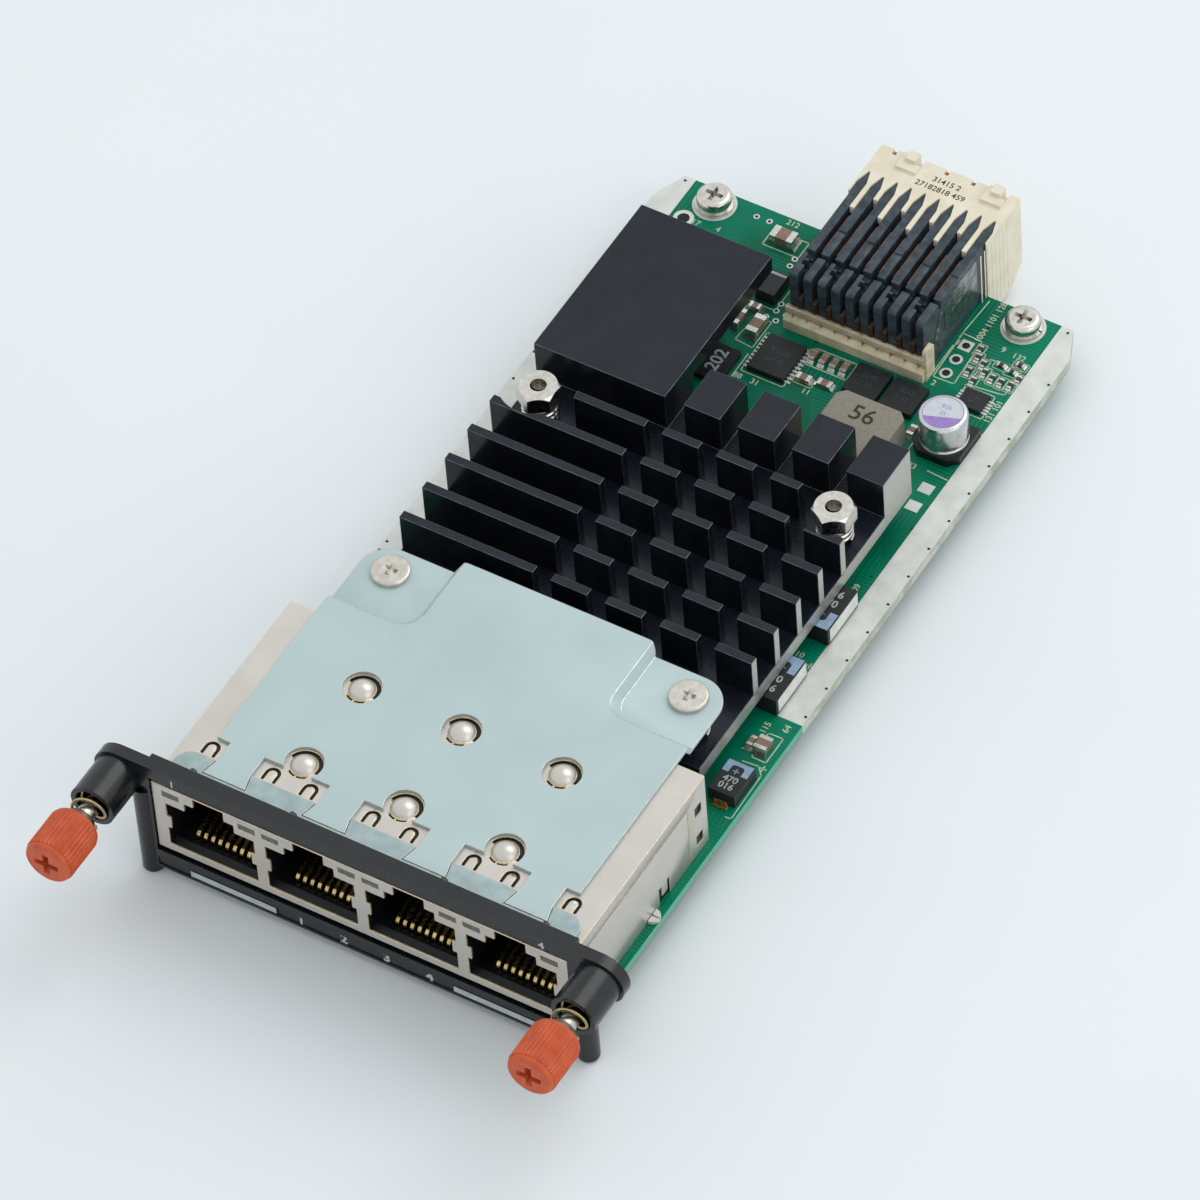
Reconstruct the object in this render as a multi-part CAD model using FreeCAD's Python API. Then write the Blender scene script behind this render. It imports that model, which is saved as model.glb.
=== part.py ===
import FreeCAD, Part
import math
import os

from FreeCAD import Vector

# Switch line card with four shielded jacks, a cooled chip and a rear board connector.
# X runs across the card, Y from the front plate to the rear and Z up.
# While a piece is drawn, X = 0 is the card's middle, Y = 0 the front plane of the
# jack and Z = 0 the top of the board. The finished pieces move so that the origin
# lies at the middle of the card's footprint, on the surface that it stands on.

# Board
board_side_margin = 1.1
board_thickness = 1.6
board_length = 120.8
board_corner_x = 2.0
board_corner_y = 4.6
board_front_gap = 0.1

# Four-port jack
port_count = 4
port_pitch = 13.97
port_wall = 1.53
shield_side = 0.96
shield_depth = 31.8
shield_height = 12.0
shield_sheet = 0.25
port_floor = 1.2
port_height = 7.55
latch_wide = 7.0
latch_wide_height = 1.45
latch_narrow = 4.3
port_depth = 12.5
port_tab_width = 1.1
port_tab_low = 4.3
port_tab_high = 6.4
port_lead_in = 1.2
port_lead_drop = 0.5
window_overlap = 2.07
window_width = 2.38
window_base = 10.05
window_height = 1.0
housing_clearance = 0.05
contacts_per_port = 8
contact_pitch = 1.016
contact_width = 0.45
contact_thickness = 0.28
contact_front = 2.1
contact_low = 1.1
contact_rise = 4.3
contact_rear = 9.6
contact_bend = 0.75
contact_end_gap = 1.2
light_front = 0.1
light_rear = 3.9
dome_radius = 1.7
dome_height = 1.0
dome_front_y = 10.7
dome_rear_y = 23.9
dome_slit_gap = 0.1
dome_front_slits = ((-130, -97), (-90, -52))
dome_front_slit_width = 0.22
dome_rear_slit = (-15, 165)
dome_rear_slit_width = 0.5
tongue_offset = 2.63
tongue_end_inset = 3.8
tongue_reach = 1.0
tongue_slit = 0.42
tongue_front_gap = 0.5
tongue_length = 1.2
seam_y = 27.5
seam_top = 9.8
seam_width = 0.08
seam_depth = 0.1
side_window_y = 29.1
side_window_length = 1.5
side_window_low = (1.6, 6.8)
side_window_height = 1.7
foot_notch_y = 20.3
foot_notch_length = 2.4
foot_notch_height = 3.0
foot_tongue_width = 1.3
foot_tongue_low = 1.2
peg_radius = 1.05
peg_y = 18.3
peg_height = 0.5
peg_slot = 0.3

# Front plate
plate_proud = 0.3
plate_thickness = 1.6
window_gap = 0.1
window_top_gap = 0.9
rail_height = 3.25
window_bottom_gap = 0.6
screw_overhang = 3.3
screw_z = 11.4
ear_radius = 3.4
leg_overhang = 0.46
leg_y = 0.5
leg_radius = 1.4
leg_reach = 1.55
leg_round = 0.5
lip_height = 0.7
lip_end_gap = 0.9
boss_radius = 3.0
boss_length = 5.85
boss_bore = 2.35
boss_floor = 0.9
stake_radius = 0.5
stake_reach = 0.5
stake_ports = (0.75, 1.75)
legend_depth = 0.15
legend_height = 1.5
legend_base = 0.4
bar_inner = 12.3
bar_length = 12.3
bar_height = 1.2

# Front bracket, folded from sheet
bracket_sheet = 0.5
flange_depth = 3.7
flange_inset = 2.0
flange_corner = 2.2
foot_depth = 6.1
foot_inset = 3.0
foot_screw_inset = 6.0
foot_screw_radius = 1.0
foot_screw_end_gap = 0.3
foot_screw_head = 1.9
foot_screw_head_height = 1.1
insert_radius = 1.6

# Captive thumbscrews
neck_radius = 1.2
running_gap = 0.08
thread_radius = 1.45
thread_length = 1.3
thread_chamfer = 0.4
shoulder_gap = 0.2
press_travel = 3.0
press_stop_gap = 0.15
knob_radius = 3.25
knob_length = 7.0
knob_round = 0.6
knob_band = 0.8
knob_socket = 2.8
knurl_count = 36
knurl_depth = 0.17
recess_radius = 1.7
recess_width = 0.9
recess_depth = 1.8
collar_radius = 2.1
collar_thickness = 0.5
collar_gap = 0.03
thumb_spring_radius = 2.0
thumb_spring_wire = 0.2
thumb_spring_turns = 4

# Cover plate over the jack
cover_sheet = 0.5
cover_inset = 3.7
cover_reach = 14.8
cover_corner = 4.0
middle_corner = 1.5
pad_setback = 3.3
pad_gap = 6.8
pad_corner = 3.0
pad_slope = 0.9
pad_rear_step = 1.2
tab_neck = 4.8
tab_tip = 5.9
tab_reach = 2.3
tab_gap = 0.12
notch_depth = 3.1
vent_radius = 2.45

# Heat sink and what holds it
sink_side_inset = 5.23
sink_gap = 5.2
sink_post_setback = 34.85
sink_setback = 15.25
sink_base_bottom = 3.0
sink_base = 2.25
sink_top = 11.1
fin_setback = 12.93
fin_thickness = 1.2
fin_rows = 6
pin_pitch = 7.65
pin_width = 5.15
pin_columns = 4
post_depth = 6.65
slab_width = 18.77
slab_thickness = 2.6
mount_inset = 3.87
mount_setback = 4.7
mount_rear_inset = 12.02
mount_clear = 5.0
standoff_top = 10.8
standoff_hex = 4.9
standoff_head = 2.4
standoff_shank = 1.5
standoff_shoulder = 2.2
shoulder_height = 2.2
shank_clearance = 0.2
standoff_bevel = 0.4
tap_radius = 1.05
tap_depth = 2.2
nut_hex = 5.0
nut_height = 1.6
nut_tail = 0.3
sink_spring_radius = 2.1
sink_spring_wire = 0.25
sink_spring_turns = 3
cover_screw_head = 2.5
cover_screw_head_height = 0.7
cover_screw_recess = 0.42
cover_screw_shank = 1.0
cover_screw_length = 2.2
chip_size = 25.0
chip_height = 2.3
chip_carrier_height = 1.0
chip_cap_inset = 1.75
thermal_pad_inset = 2.75

# Rear fixing
rear_screw_inset = 7.75
rear_screw_setback = 2.45
rear_screw_reach = 2.0
rear_screw_head = 2.3
rear_screw_head_height = 1.5
rear_screw_shank = 1.2
rear_washer_radius = 2.55
rear_washer_height = 0.5
rear_washer_slit = 0.3
rear_spacer_hex = 5.0

# Rear connector
column_count = 10
column_pitch = 2.0
connector_inset = 24.2
wafer_thickness = 1.15
wafer_reach = 15.4
wafer_round = 0.6
wafer_top = 9.2
wafer_notch_y = 3.9
wafer_notch_length = 0.65
wafer_notch_depth = 1.2
wafer_pocket_y = 2.0
wafer_pocket_length = 0.8
wafer_pocket_depth = 1.6
wafer_pocket_gap = 0.3
wafer_hump_y = 8.9
wafer_hump_length = 0.9
wafer_hump_height = 0.25
wafer_tip_reach = 3.8
wafer_tip_length = 1.9
wafer_tip_width = 0.24
housing_front_gap = 0.3
housing_depth = 8.7
housing_top = 9.4
housing_bottom = -4.5
housing_margin = 0.1
housing_chamfer_y = 3.0
housing_chamfer_z = 2.4
slot_gap = 0.1
slot_head_room = 1.0
finger_length = 2.4
finger_height = 1.2
key_offsets = (-5.0, 7.1)
key_width = 2.9
key_length = 2.8
key_height = 0.45
lug_width = 1.5
lug_length = 1.5
lug_height = 1.0
key_pocket = 0.7
key_pocket_depth = 0.8
gate_offsets = (-7.8, -0.3, 3.5)
gate_width = 0.6
gate_length = 0.9
gate_depth = 0.5
socket_rows = 6
socket_pitch = 1.75
socket_width = 0.9
socket_height = 1.1
socket_depth = 1.5
socket_base = 1.0
blade_thickness = 0.2
blade_setback = 5.9
blade_end_gap = 0.6
blade_drop = 0.9
comb_depth = 1.35
comb_height = 3.4
comb_step_height = 1.6
comb_slope_height = 2.1
comb_slope_depth = 0.95
comb_rail_low = 2.5
comb_rail_depth = 0.65
comb_hole_width = 0.9
comb_hole_low = 1.75
comb_hole_wall = 0.3
comb_rib_width = 0.6
comb_rib_depth = 0.8
comb_rib_height = 5.3
comb_ear_width = 0.6
comb_ear_depth = 1.4
comb_ear_height = 5.2
comb_ear_round = 0.6
tail_rows = 6
tail_pitch = 2.2
tail_setback = 2.1
tail_length = 1.6
tail_size = 0.4

# Parts behind the heat sink, placed by their distances from the board's right and rear edges
inductor_inset = 16.15
inductor_setback = 29.8
inductor_size = 9.7
inductor_height = 4.5
inductor_bevel = 1.0
inductor_round = 0.3
terminal_width = 3.2
terminal_height = 2.0
terminal_reach = 0.25
can_inset = 7.0
can_setback = 23.8
can_radius = 3.15
can_height = 5.9
can_round = 0.5
can_groove_radius = 0.3
can_groove_offset = 0.15
can_groove_rise = 0.7
can_base_height = 1.2
can_base_size = 6.6
can_base_bevel = 1.3
controller_leads = 9
controller_pitch = 0.65
driver_leads = 5
driver_pitch = 0.5
lead_reach = 0.75
lead_width = 0.28
lead_height = 0.18
module_inset = 41.4
module_width = 11.4
module_setback = 19.1
module_length = 14.0
header_inset = 12.55
header_setback = 8.45
header_pitch = 2.54
header_count = 3
header_hole = 0.5
spare_hole_inset = 5.5
spare_hole_setback = 6.3
spare_hole = 0.8
spare_pad_inset = 5.4
spare_pad_setbacks = (31.2, 34.4)
spare_pad_width = 1.8
spare_pad_length = 1.6
tantalum_inset = 5.6
tantalum_setback = 8.23
tantalum_pitch = 12.5
tantalum_width = 4.3
tantalum_length = 7.3
tantalum_height = 2.8
low_tantalum_inset = 2.6
low_tantalum_advance = 1.8
low_tantalum_width = 3.7
low_tantalum_length = 5.2
low_tantalum_height = 2.0
pair_inset = 2.4
pair_step = 1.6
pair_setback = 5.3

# Heads of the pan screws, as shares of a head's radius or height
pan_round = 0.45
pan_recess = 0.55
pan_recess_width = 0.26
pan_recess_depth = 0.7
recess_floor = 0.35

clearance = 0.05
solder = 0.05

# Places that follow from the sizes above
port_width = port_pitch - port_wall
window_inset = port_width / 2 - window_overlap
shield_half = port_pitch * port_count / 2 + shield_side
board_half = shield_half + board_side_margin
port_centres = [port_pitch * (i - (port_count - 1) / 2) for i in range(port_count)]
wall_centres = [port_pitch * (i - (port_count - 2) / 2) for i in range(port_count - 1)]
plate_front = -plate_proud
plate_rear = plate_front + plate_thickness
screw_x = board_half + screw_overhang
leg_x = board_half + leg_overhang
plate_top = screw_z + ear_radius
window_half = shield_half + window_gap
window_bottom = -window_bottom_gap
window_top = shield_height + window_top_gap
rail_bottom = window_bottom - rail_height
foot_level = rail_bottom - leg_reach
bracket_front = leg_y + leg_radius
bracket_rear = bracket_front + bracket_sheet
bracket_top = plate_top - lip_height
stake_z = (shield_height + bracket_sheet + bracket_top) / 2
board_front = bracket_rear + board_front_gap
board_rear = board_front + board_length
board_bottom = -board_thickness
flange_rear = bracket_front + flange_depth + bracket_sheet
flange_half_width = board_half - flange_inset
foot_screw_x = board_half - foot_screw_inset
foot_screw_y = bracket_rear + foot_depth / 2
cover_bottom = shield_height
cover_top = cover_bottom + cover_sheet
cover_half_width = shield_half - cover_inset
cover_rear = shield_depth + cover_reach
pad_front = shield_depth + pad_setback
pad_rear = cover_rear - pad_rear_step
pad_bottom = standoff_top
pad_top = pad_bottom + cover_sheet
boss_front = plate_front - boss_length
bore_end = plate_rear - boss_floor
knob_rear = boss_front - press_travel - press_stop_gap
knob_front = knob_rear - knob_length
collar_rear = knob_rear + collar_gap + collar_thickness
sink_half_width = board_half - sink_side_inset
sink_front = shield_depth + sink_gap
sink_post_rear = board_rear - sink_post_setback
sink_rear = board_rear - sink_setback
sink_base_top = sink_base_bottom + sink_base
fin_front = sink_front + fin_setback
post_front = sink_post_rear - post_depth
fin_pitch = (post_front - fin_front) / fin_rows
mount_x = sink_half_width - mount_inset
mount_front_y = sink_front + mount_setback
mount_rear_y = sink_post_rear - mount_rear_inset
pad_half_gap = mount_x - pad_gap
chip_y = (mount_front_y + mount_rear_y) / 2
standoff_neck = standoff_top - standoff_head
rear_screw_x = board_half - rear_screw_inset
rear_screw_y = board_rear - rear_screw_setback
connector_x = board_half - connector_inset
column_centres = [connector_x + column_pitch * (i - (column_count - 1) / 2) for i in range(column_count)]
connector_half = column_count * column_pitch / 2
housing_front = board_rear + housing_front_gap
housing_rear = housing_front + housing_depth
wafer_front = housing_front - wafer_reach
wafer_tip = housing_front + wafer_tip_reach
finger_front = housing_front - finger_length
inductor_x = board_half - inductor_inset
inductor_y = board_rear - inductor_setback
can_x = board_half - can_inset
can_y = board_rear - can_setback
header_x = board_half - header_inset
footprint_middle = (knob_front + housing_rear) / 2


def box(x0, x1, y0, y1, z0, z1):
    return Part.makeBox(x1 - x0, y1 - y0, z1 - z0, Vector(x0, y0, z0))


def rod(radius, start, end):
    line = end - start
    return Part.makeCylinder(radius, line.Length, start, line)


def post(radius, x, y, z0, z1):
    return rod(radius, Vector(x, y, z0), Vector(x, y, z1))


def prism(points, reach):
    return Part.Face(Part.makePolygon(points + [points[0]])).extrude(reach)


def hexagon(across, x, y, z0, z1):
    corner = across / math.sqrt(3)
    points = []
    for i in range(6):
        angle = math.radians(60 * i + 30)
        points.append(Vector(x + corner * math.cos(angle), y + corner * math.sin(angle), z0))
    return prism(points, Vector(0, 0, z1 - z0))


def join(shapes):
    whole = shapes[0]
    if len(shapes) > 1:
        whole = shapes[0].multiFuse(shapes[1:])
    return whole.removeSplitter()


def cut(shape, tools):
    return shape.cut(Part.makeCompound(tools))


def mirror_pair(shape):
    return [shape, shape.mirror(Vector(0, 0, 0), Vector(1, 0, 0))]


def upright_edges(shape, x, y):
    found = []
    for edge in shape.Edges:
        low = edge.BoundBox
        if low.XLength < 0.001 and low.YLength < 0.001:
            if abs(low.XMin - x) < 0.01 and abs(low.YMin - y) < 0.01:
                found.append(edge)
    return found


def level_edges(shape, z, round_only=False):
    found = []
    for edge in shape.Edges:
        bounds = edge.BoundBox
        if abs(bounds.ZMin - z) < 0.001 and abs(bounds.ZMax - z) < 0.001:
            if not round_only or isinstance(edge.Curve, Part.Circle):
                found.append(edge)
    return found


# A cross recess, wide at the top and drawn in towards its floor.
def cross_recess(radius, width, depth):
    arms = []
    for turn in (0, 90):
        rings = []
        for share, z in ((1.0, clearance), (recess_floor, -depth)):
            half = radius * share
            side = width * (0.5 + 0.5 * share) / 2
            corners = [(-half, -side), (half, -side), (half, side), (-half, side)]
            ring = Part.makePolygon([Vector(x, y, z) for x, y in corners + corners[:1]])
            rings.append(ring)
        arm = Part.makeLoft(rings, True, True)
        arm.rotate(Vector(0, 0, 0), Vector(0, 0, 1), turn)
        arms.append(arm)
    return arms[0].fuse(arms[1])


# A screw along Z with its head resting at z = 0 and its shank below.
def pan_screw(head, head_height, shank, length, recess_share=pan_recess):
    crown = Part.makeCylinder(head, head_height, Vector(0, 0, 0))
    crown = crown.makeFillet(head_height * pan_round, level_edges(crown, head_height, True))
    body = crown.fuse(Part.makeCylinder(shank, length, Vector(0, 0, -length)))
    recess = cross_recess(head * recess_share, head * pan_recess_width, head_height * pan_recess_depth)
    recess.translate(Vector(0, 0, head_height))
    return body.cut(recess).removeSplitter()


# A coil spring along Z, standing on z = 0. Its wire has eight narrow flats round it.
def coil(radius, wire, height, turns):
    rise = height - 2 * wire
    path = Part.Wire(Part.makeHelix(rise / turns, rise, radius).Edges)
    corners = []
    for i in range(9):
        angle = math.radians(45 * i + 22.5)
        corner = wire / math.cos(math.radians(22.5))
        corners.append(Vector(radius + corner * math.cos(angle), 0, corner * math.sin(angle)))
    spring = path.makePipeShell([Part.makePolygon(corners)], True, True)
    spring.translate(Vector(0, 0, wire))
    return spring


# A shape drawn along Z, laid along Y so that its z = 0 comes to the given y.
def along_y(shape, x, y, z):
    laid = shape.copy()
    laid.rotate(Vector(0, 0, 0), Vector(1, 0, 0), -90)
    laid.translate(Vector(x, y, z))
    return laid


def port_outline(centre, y, grow):
    half = port_width / 2 + grow
    wide = latch_wide / 2 + grow
    narrow = latch_narrow / 2 + grow
    shelf = port_floor + port_height + grow
    neck = shelf + latch_wide_height
    top = shield_height - shield_sheet
    steps = [(half, port_floor - grow), (half, shelf), (wide, shelf),
             (wide, neck), (narrow, neck), (narrow, top)]
    right = [Vector(centre + x, y, z) for x, z in steps]
    left = [Vector(centre - x, y, z) for x, z in reversed(steps)]
    return right + left


# Moulded front plate: window for the jack, two ears with sprung-screw bosses, round legs.
def make_faceplate():
    panel = box(-leg_x, leg_x, plate_front, plate_rear, rail_bottom, plate_top)
    lip_half = leg_x - lip_end_gap
    lip = box(-lip_half, lip_half, plate_rear, bracket_front, plate_top - lip_height, plate_top)
    solids = [panel, lip]
    ear = rod(ear_radius, Vector(screw_x, plate_front, screw_z), Vector(screw_x, plate_rear, screw_z))
    web = box(leg_x - leg_radius, screw_x, plate_front, plate_rear, screw_z - ear_radius, plate_top)
    leg = post(leg_radius, leg_x, leg_y, foot_level, screw_z - boss_radius / 2)
    leg = leg.makeFillet(leg_round, level_edges(leg, foot_level, True))
    boss = rod(boss_radius, Vector(screw_x, plate_front, screw_z), Vector(screw_x, boss_front, screw_z))
    for side in (ear, web, leg, boss):
        solids += mirror_pair(side)
    body = join(solids)

    tools = [box(-window_half, window_half, plate_front - 1, bracket_front + 1, window_bottom, window_top)]
    bore = rod(boss_bore, Vector(screw_x, boss_front - 1, screw_z), Vector(screw_x, bore_end, screw_z))
    hole = rod(neck_radius + running_gap, Vector(screw_x, boss_front, screw_z),
               Vector(screw_x, plate_rear + 1, screw_z))
    tools += mirror_pair(bore) + mirror_pair(hole)

    # The legend band is sunk, and two bars stand in it flush with the plate.
    band_low = rail_bottom + legend_base
    band = box(-leg_x + leg_radius, leg_x - leg_radius, plate_front - 1, plate_front + legend_depth,
               band_low, band_low + legend_height)
    bar_low = band_low + (legend_height - bar_height) / 2
    bar = box(bar_inner, bar_inner + bar_length, plate_front - 1, plate_front + legend_depth,
              bar_low, bar_low + bar_height)
    tools.append(cut(band, mirror_pair(bar)))
    body = cut(body, tools)

    stakes = []
    along = Vector(0, bracket_rear + stake_reach - plate_rear, 0)
    for share in stake_ports:
        start = Vector(port_pitch * share, plate_rear, stake_z)
        stakes += mirror_pair(rod(stake_radius, start, start + along))
    return join([body] + stakes)


# Folded bracket: upright frame round the jack, top flange with dovetail sockets, foot under the board.
def make_front_bracket():
    web = box(-board_half, board_half, bracket_front, bracket_rear,
              board_bottom - bracket_sheet, bracket_top)
    opening = box(-window_half, window_half, bracket_front - 1, bracket_rear + 1, -clearance, shield_height)
    flange = box(-flange_half_width, flange_half_width, bracket_front, flange_rear,
                 shield_height, shield_height + bracket_sheet)
    corners = upright_edges(flange, flange_half_width, flange_rear)
    corners += upright_edges(flange, -flange_half_width, flange_rear)
    flange = flange.makeFillet(flange_corner, corners)
    foot_half = board_half - foot_inset
    foot = box(-foot_half, foot_half, bracket_front, bracket_rear + foot_depth,
               board_bottom - bracket_sheet, board_bottom)
    top_corner = box(flange_half_width, board_half + 1, bracket_front - 1, bracket_rear + 1,
                     shield_height + bracket_sheet, bracket_top + 1)
    frame = cut(web, [opening] + mirror_pair(top_corner))
    body = join([frame, flange, foot])
    tools = []
    for centre in port_centres:
        tools.append(tab_shape(centre, tab_gap, shield_height - 1, shield_height + bracket_sheet + 1))
    for share in stake_ports:
        start = Vector(port_pitch * share, bracket_front - 1, stake_z)
        tools += mirror_pair(rod(stake_radius + clearance, start, start + Vector(0, bracket_sheet + 2, 0)))
    tools += mirror_pair(post(foot_screw_radius + 2 * clearance, foot_screw_x, foot_screw_y,
                              board_bottom - bracket_sheet - 1, board_bottom + 1))
    return cut(body, tools)


# One dovetail tab of the cover plate, wider at its tip than at its neck.
def tab_shape(centre, grow, z0, z1):
    neck = tab_neck / 2 + grow
    tip = tab_tip / 2 + grow
    front = flange_rear - tab_reach - grow
    back = flange_rear + notch_depth + grow
    points = [(-tip, front), (tip, front), (neck, flange_rear), (neck, back),
              (-neck, back), (-neck, flange_rear)]
    return prism([Vector(centre + x, y, z0) for x, y in points], Vector(0, 0, z1 - z0))


def make_bracket_screws():
    screw = pan_screw(foot_screw_head, foot_screw_head_height, foot_screw_radius,
                      bracket_sheet + board_thickness - foot_screw_end_gap)
    screw.rotate(Vector(0, 0, 0), Vector(1, 0, 0), 180)
    screw.translate(Vector(foot_screw_x, foot_screw_y, board_bottom - bracket_sheet))
    return mirror_pair(screw)


def make_bracket_inserts():
    ring = post(insert_radius, foot_screw_x, foot_screw_y, board_bottom, -clearance)
    ring = ring.cut(post(foot_screw_radius + clearance, foot_screw_x, foot_screw_y, board_bottom - 1, 1))
    return mirror_pair(ring)


# Knurled thumbscrew knob with rounded ends and a cross recess.
def make_knob(side):
    tip = knob_radius - knurl_depth
    points = []
    for i in range(2 * knurl_count):
        radius = knob_radius if i % 2 == 0 else tip
        angle = math.pi * i / knurl_count
        points.append(Vector(radius * math.cos(angle), radius * math.sin(angle), knob_band))
    grip = prism(points, Vector(0, 0, knob_length - 2 * knob_band))
    core = Part.makeCylinder(tip, knob_length)
    ends = level_edges(core, 0, True) + level_edges(core, knob_length, True)
    core = core.makeFillet(knob_round, ends)
    body = core.fuse(grip)
    recess = cross_recess(recess_radius, recess_width, recess_depth)
    recess.rotate(Vector(0, 0, 0), Vector(1, 0, 0), 180)
    body = body.cut(recess)
    body = body.cut(Part.makeCylinder(neck_radius, knob_socket + 1, Vector(0, 0, knob_length - knob_socket)))
    return along_y(body, side * screw_x, knob_front, screw_z)


# Turned screw: plain neck through the plate, threaded end that cannot pull back out.
def make_captive_screw(side):
    neck_start = knob_rear - knob_socket
    thread_start = plate_rear + shoulder_gap
    neck = Part.makeCylinder(neck_radius, thread_start - neck_start)
    thread = Part.makeCylinder(thread_radius, thread_length, Vector(0, 0, thread_start - neck_start))
    end = thread_start - neck_start + thread_length
    thread = thread.makeChamfer(thread_chamfer, level_edges(thread, end, True))
    return along_y(join([neck, thread]), side * screw_x, neck_start, screw_z)


def make_spring_collar(side):
    ring = Part.makeCylinder(collar_radius, collar_thickness)
    spigot = Part.makeCylinder(thumb_spring_radius - thumb_spring_wire - clearance, 2 * collar_thickness)
    bore = Part.makeCylinder(neck_radius + running_gap, 3 * collar_thickness)
    ring = ring.fuse(spigot).cut(bore).removeSplitter()
    return along_y(ring, side * screw_x, knob_rear + collar_gap, screw_z)


def make_thumb_spring(side):
    length = bore_end - collar_rear
    spring = coil(thumb_spring_radius, thumb_spring_wire, length, thumb_spring_turns)
    return along_y(spring, side * screw_x, collar_rear, screw_z)


# Drawn and folded shield: ports, indicator windows, contact domes and spring tongues.
def make_jack_shield():
    inner = shield_half - shield_sheet
    shell = box(-shield_half, shield_half, 0, shield_depth, 0, shield_height)
    hollow = box(-inner, inner, shield_sheet, shield_depth - shield_sheet, -1, shield_height - shield_sheet)
    long_top = shell.cut(hollow)
    domes = []
    for x in wall_centres:
        for y in (dome_front_y, dome_rear_y):
            ball = (dome_radius ** 2 + dome_height ** 2) / (2 * dome_height)
            centre = Vector(x, y, shield_height + dome_height - ball)
            cap = Part.makeSphere(ball, centre)
            above = post(dome_radius + 1, x, y, shield_height - clearance, shield_height + dome_height)
            domes.append(cap.common(above))
    body = join([long_top] + domes)
    tools = []
    for centre in port_centres:
        outline = prism(port_outline(centre, -1, 0), Vector(0, 1 + shield_sheet + clearance, 0))
        tabs = []
        for direction in (-1, 1):
            edge = centre + direction * port_width / 2
            tabs.append(box(edge - port_tab_width / 2, edge + port_tab_width / 2, -2, 2,
                            port_tab_low, port_tab_high))
        tools.append(cut(outline, tabs))
        for direction in (-1, 1):
            middle = centre + direction * (window_inset + window_width / 2)
            tools.append(box(middle - window_width / 2, middle + window_width / 2, -1, shield_sheet + clearance,
                             window_base, window_base + window_height))
    tongue_middles = [x + direction * tongue_offset for x in wall_centres for direction in (-1, 1)]
    tongue_middles += [tongue_end_inset - shield_half, shield_half - tongue_end_inset]
    for x in tongue_middles:
        tools.append(tongue_slot(x))
    for x in wall_centres:
        for y in (dome_front_y, dome_rear_y):
            tools.append(dome_slit(x, y, *dome_rear_slit, dome_rear_slit_width))
            for start, end in dome_front_slits:
                tools.append(dome_slit(x, y, start, end, dome_front_slit_width))
    for wall_tool in shield_wall_tools():
        tools += mirror_pair(wall_tool)
    return cut(body, tools)


# Curved slit round a dome, between two angles in degrees.
def dome_slit(x, y, start, end, width):
    inner = dome_radius + dome_slit_gap
    low = shield_height - shield_sheet - clearance
    high = shield_height + dome_height
    ring = post(inner + width, x, y, low, high).cut(post(inner, x, y, low - 1, high + 1))
    reach = 2 * inner
    steps = math.ceil((end - start) / 45)
    corners = [Vector(x, y, low)]
    for i in range(steps + 1):
        turn = math.radians(start + (end - start) * i / steps)
        corners.append(Vector(x + reach * math.cos(turn), y + reach * math.sin(turn), low))
    return ring.common(prism(corners, Vector(0, 0, high - low)))


# What is cut into the right side wall: fold line, seam, two windows and a foot notch round a tongue.
def shield_wall_tools():
    skin = shield_half - seam_depth
    outside = shield_half + 1
    inside = shield_half - shield_sheet - clearance
    tools = [box(skin, outside, -1, seam_y, seam_top, seam_top + seam_width),
             box(skin, outside, seam_y, seam_y + seam_width, -1, seam_top + seam_width)]
    for z in side_window_low:
        tools.append(box(inside, outside, side_window_y, side_window_y + side_window_length,
                         z, z + side_window_height))
    notch_end = foot_notch_y + foot_notch_length
    notch = box(inside, outside, foot_notch_y, notch_end, -1, foot_notch_height)
    middle = (foot_notch_y + notch_end) / 2
    tongue = box(inside - 1, outside + 1, middle - foot_tongue_width / 2, middle + foot_tongue_width / 2,
                 foot_tongue_low, foot_notch_height + 1)
    tools.append(notch.cut(tongue))
    return tools


# U-shaped slot that frees a spring tongue in the shield's top, open towards the front.
def tongue_slot(x):
    reach = tongue_reach
    y0 = flange_rear + tongue_front_gap
    y1 = y0 + tongue_length
    low = shield_height - 1
    outer = join([box(x - reach, x + reach, y0, y1, low, low + 2), post(reach, x, y1, low, low + 2)])
    inner = reach - tongue_slit
    core = join([box(x - inner, x + inner, y0 - 1, y1, low, low + 2), post(inner, x, y1, low, low + 2)])
    return outer.cut(core)


# Board pegs of the shield, soldered beside its walls and slotted.
def make_shield_pegs():
    wall = shield_half + clearance
    peg = post(peg_radius, wall, peg_y, 0, peg_height)
    inner = box(wall - 2 * peg_radius, wall, peg_y - 2 * peg_radius, peg_y + 2 * peg_radius, -1, 1)
    slot = box(wall - 1, wall + 2 * peg_radius, peg_y - peg_slot / 2, peg_y + peg_slot / 2,
               peg_height / 2, 1)
    return mirror_pair(cut(peg, [inner, slot]))


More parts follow.
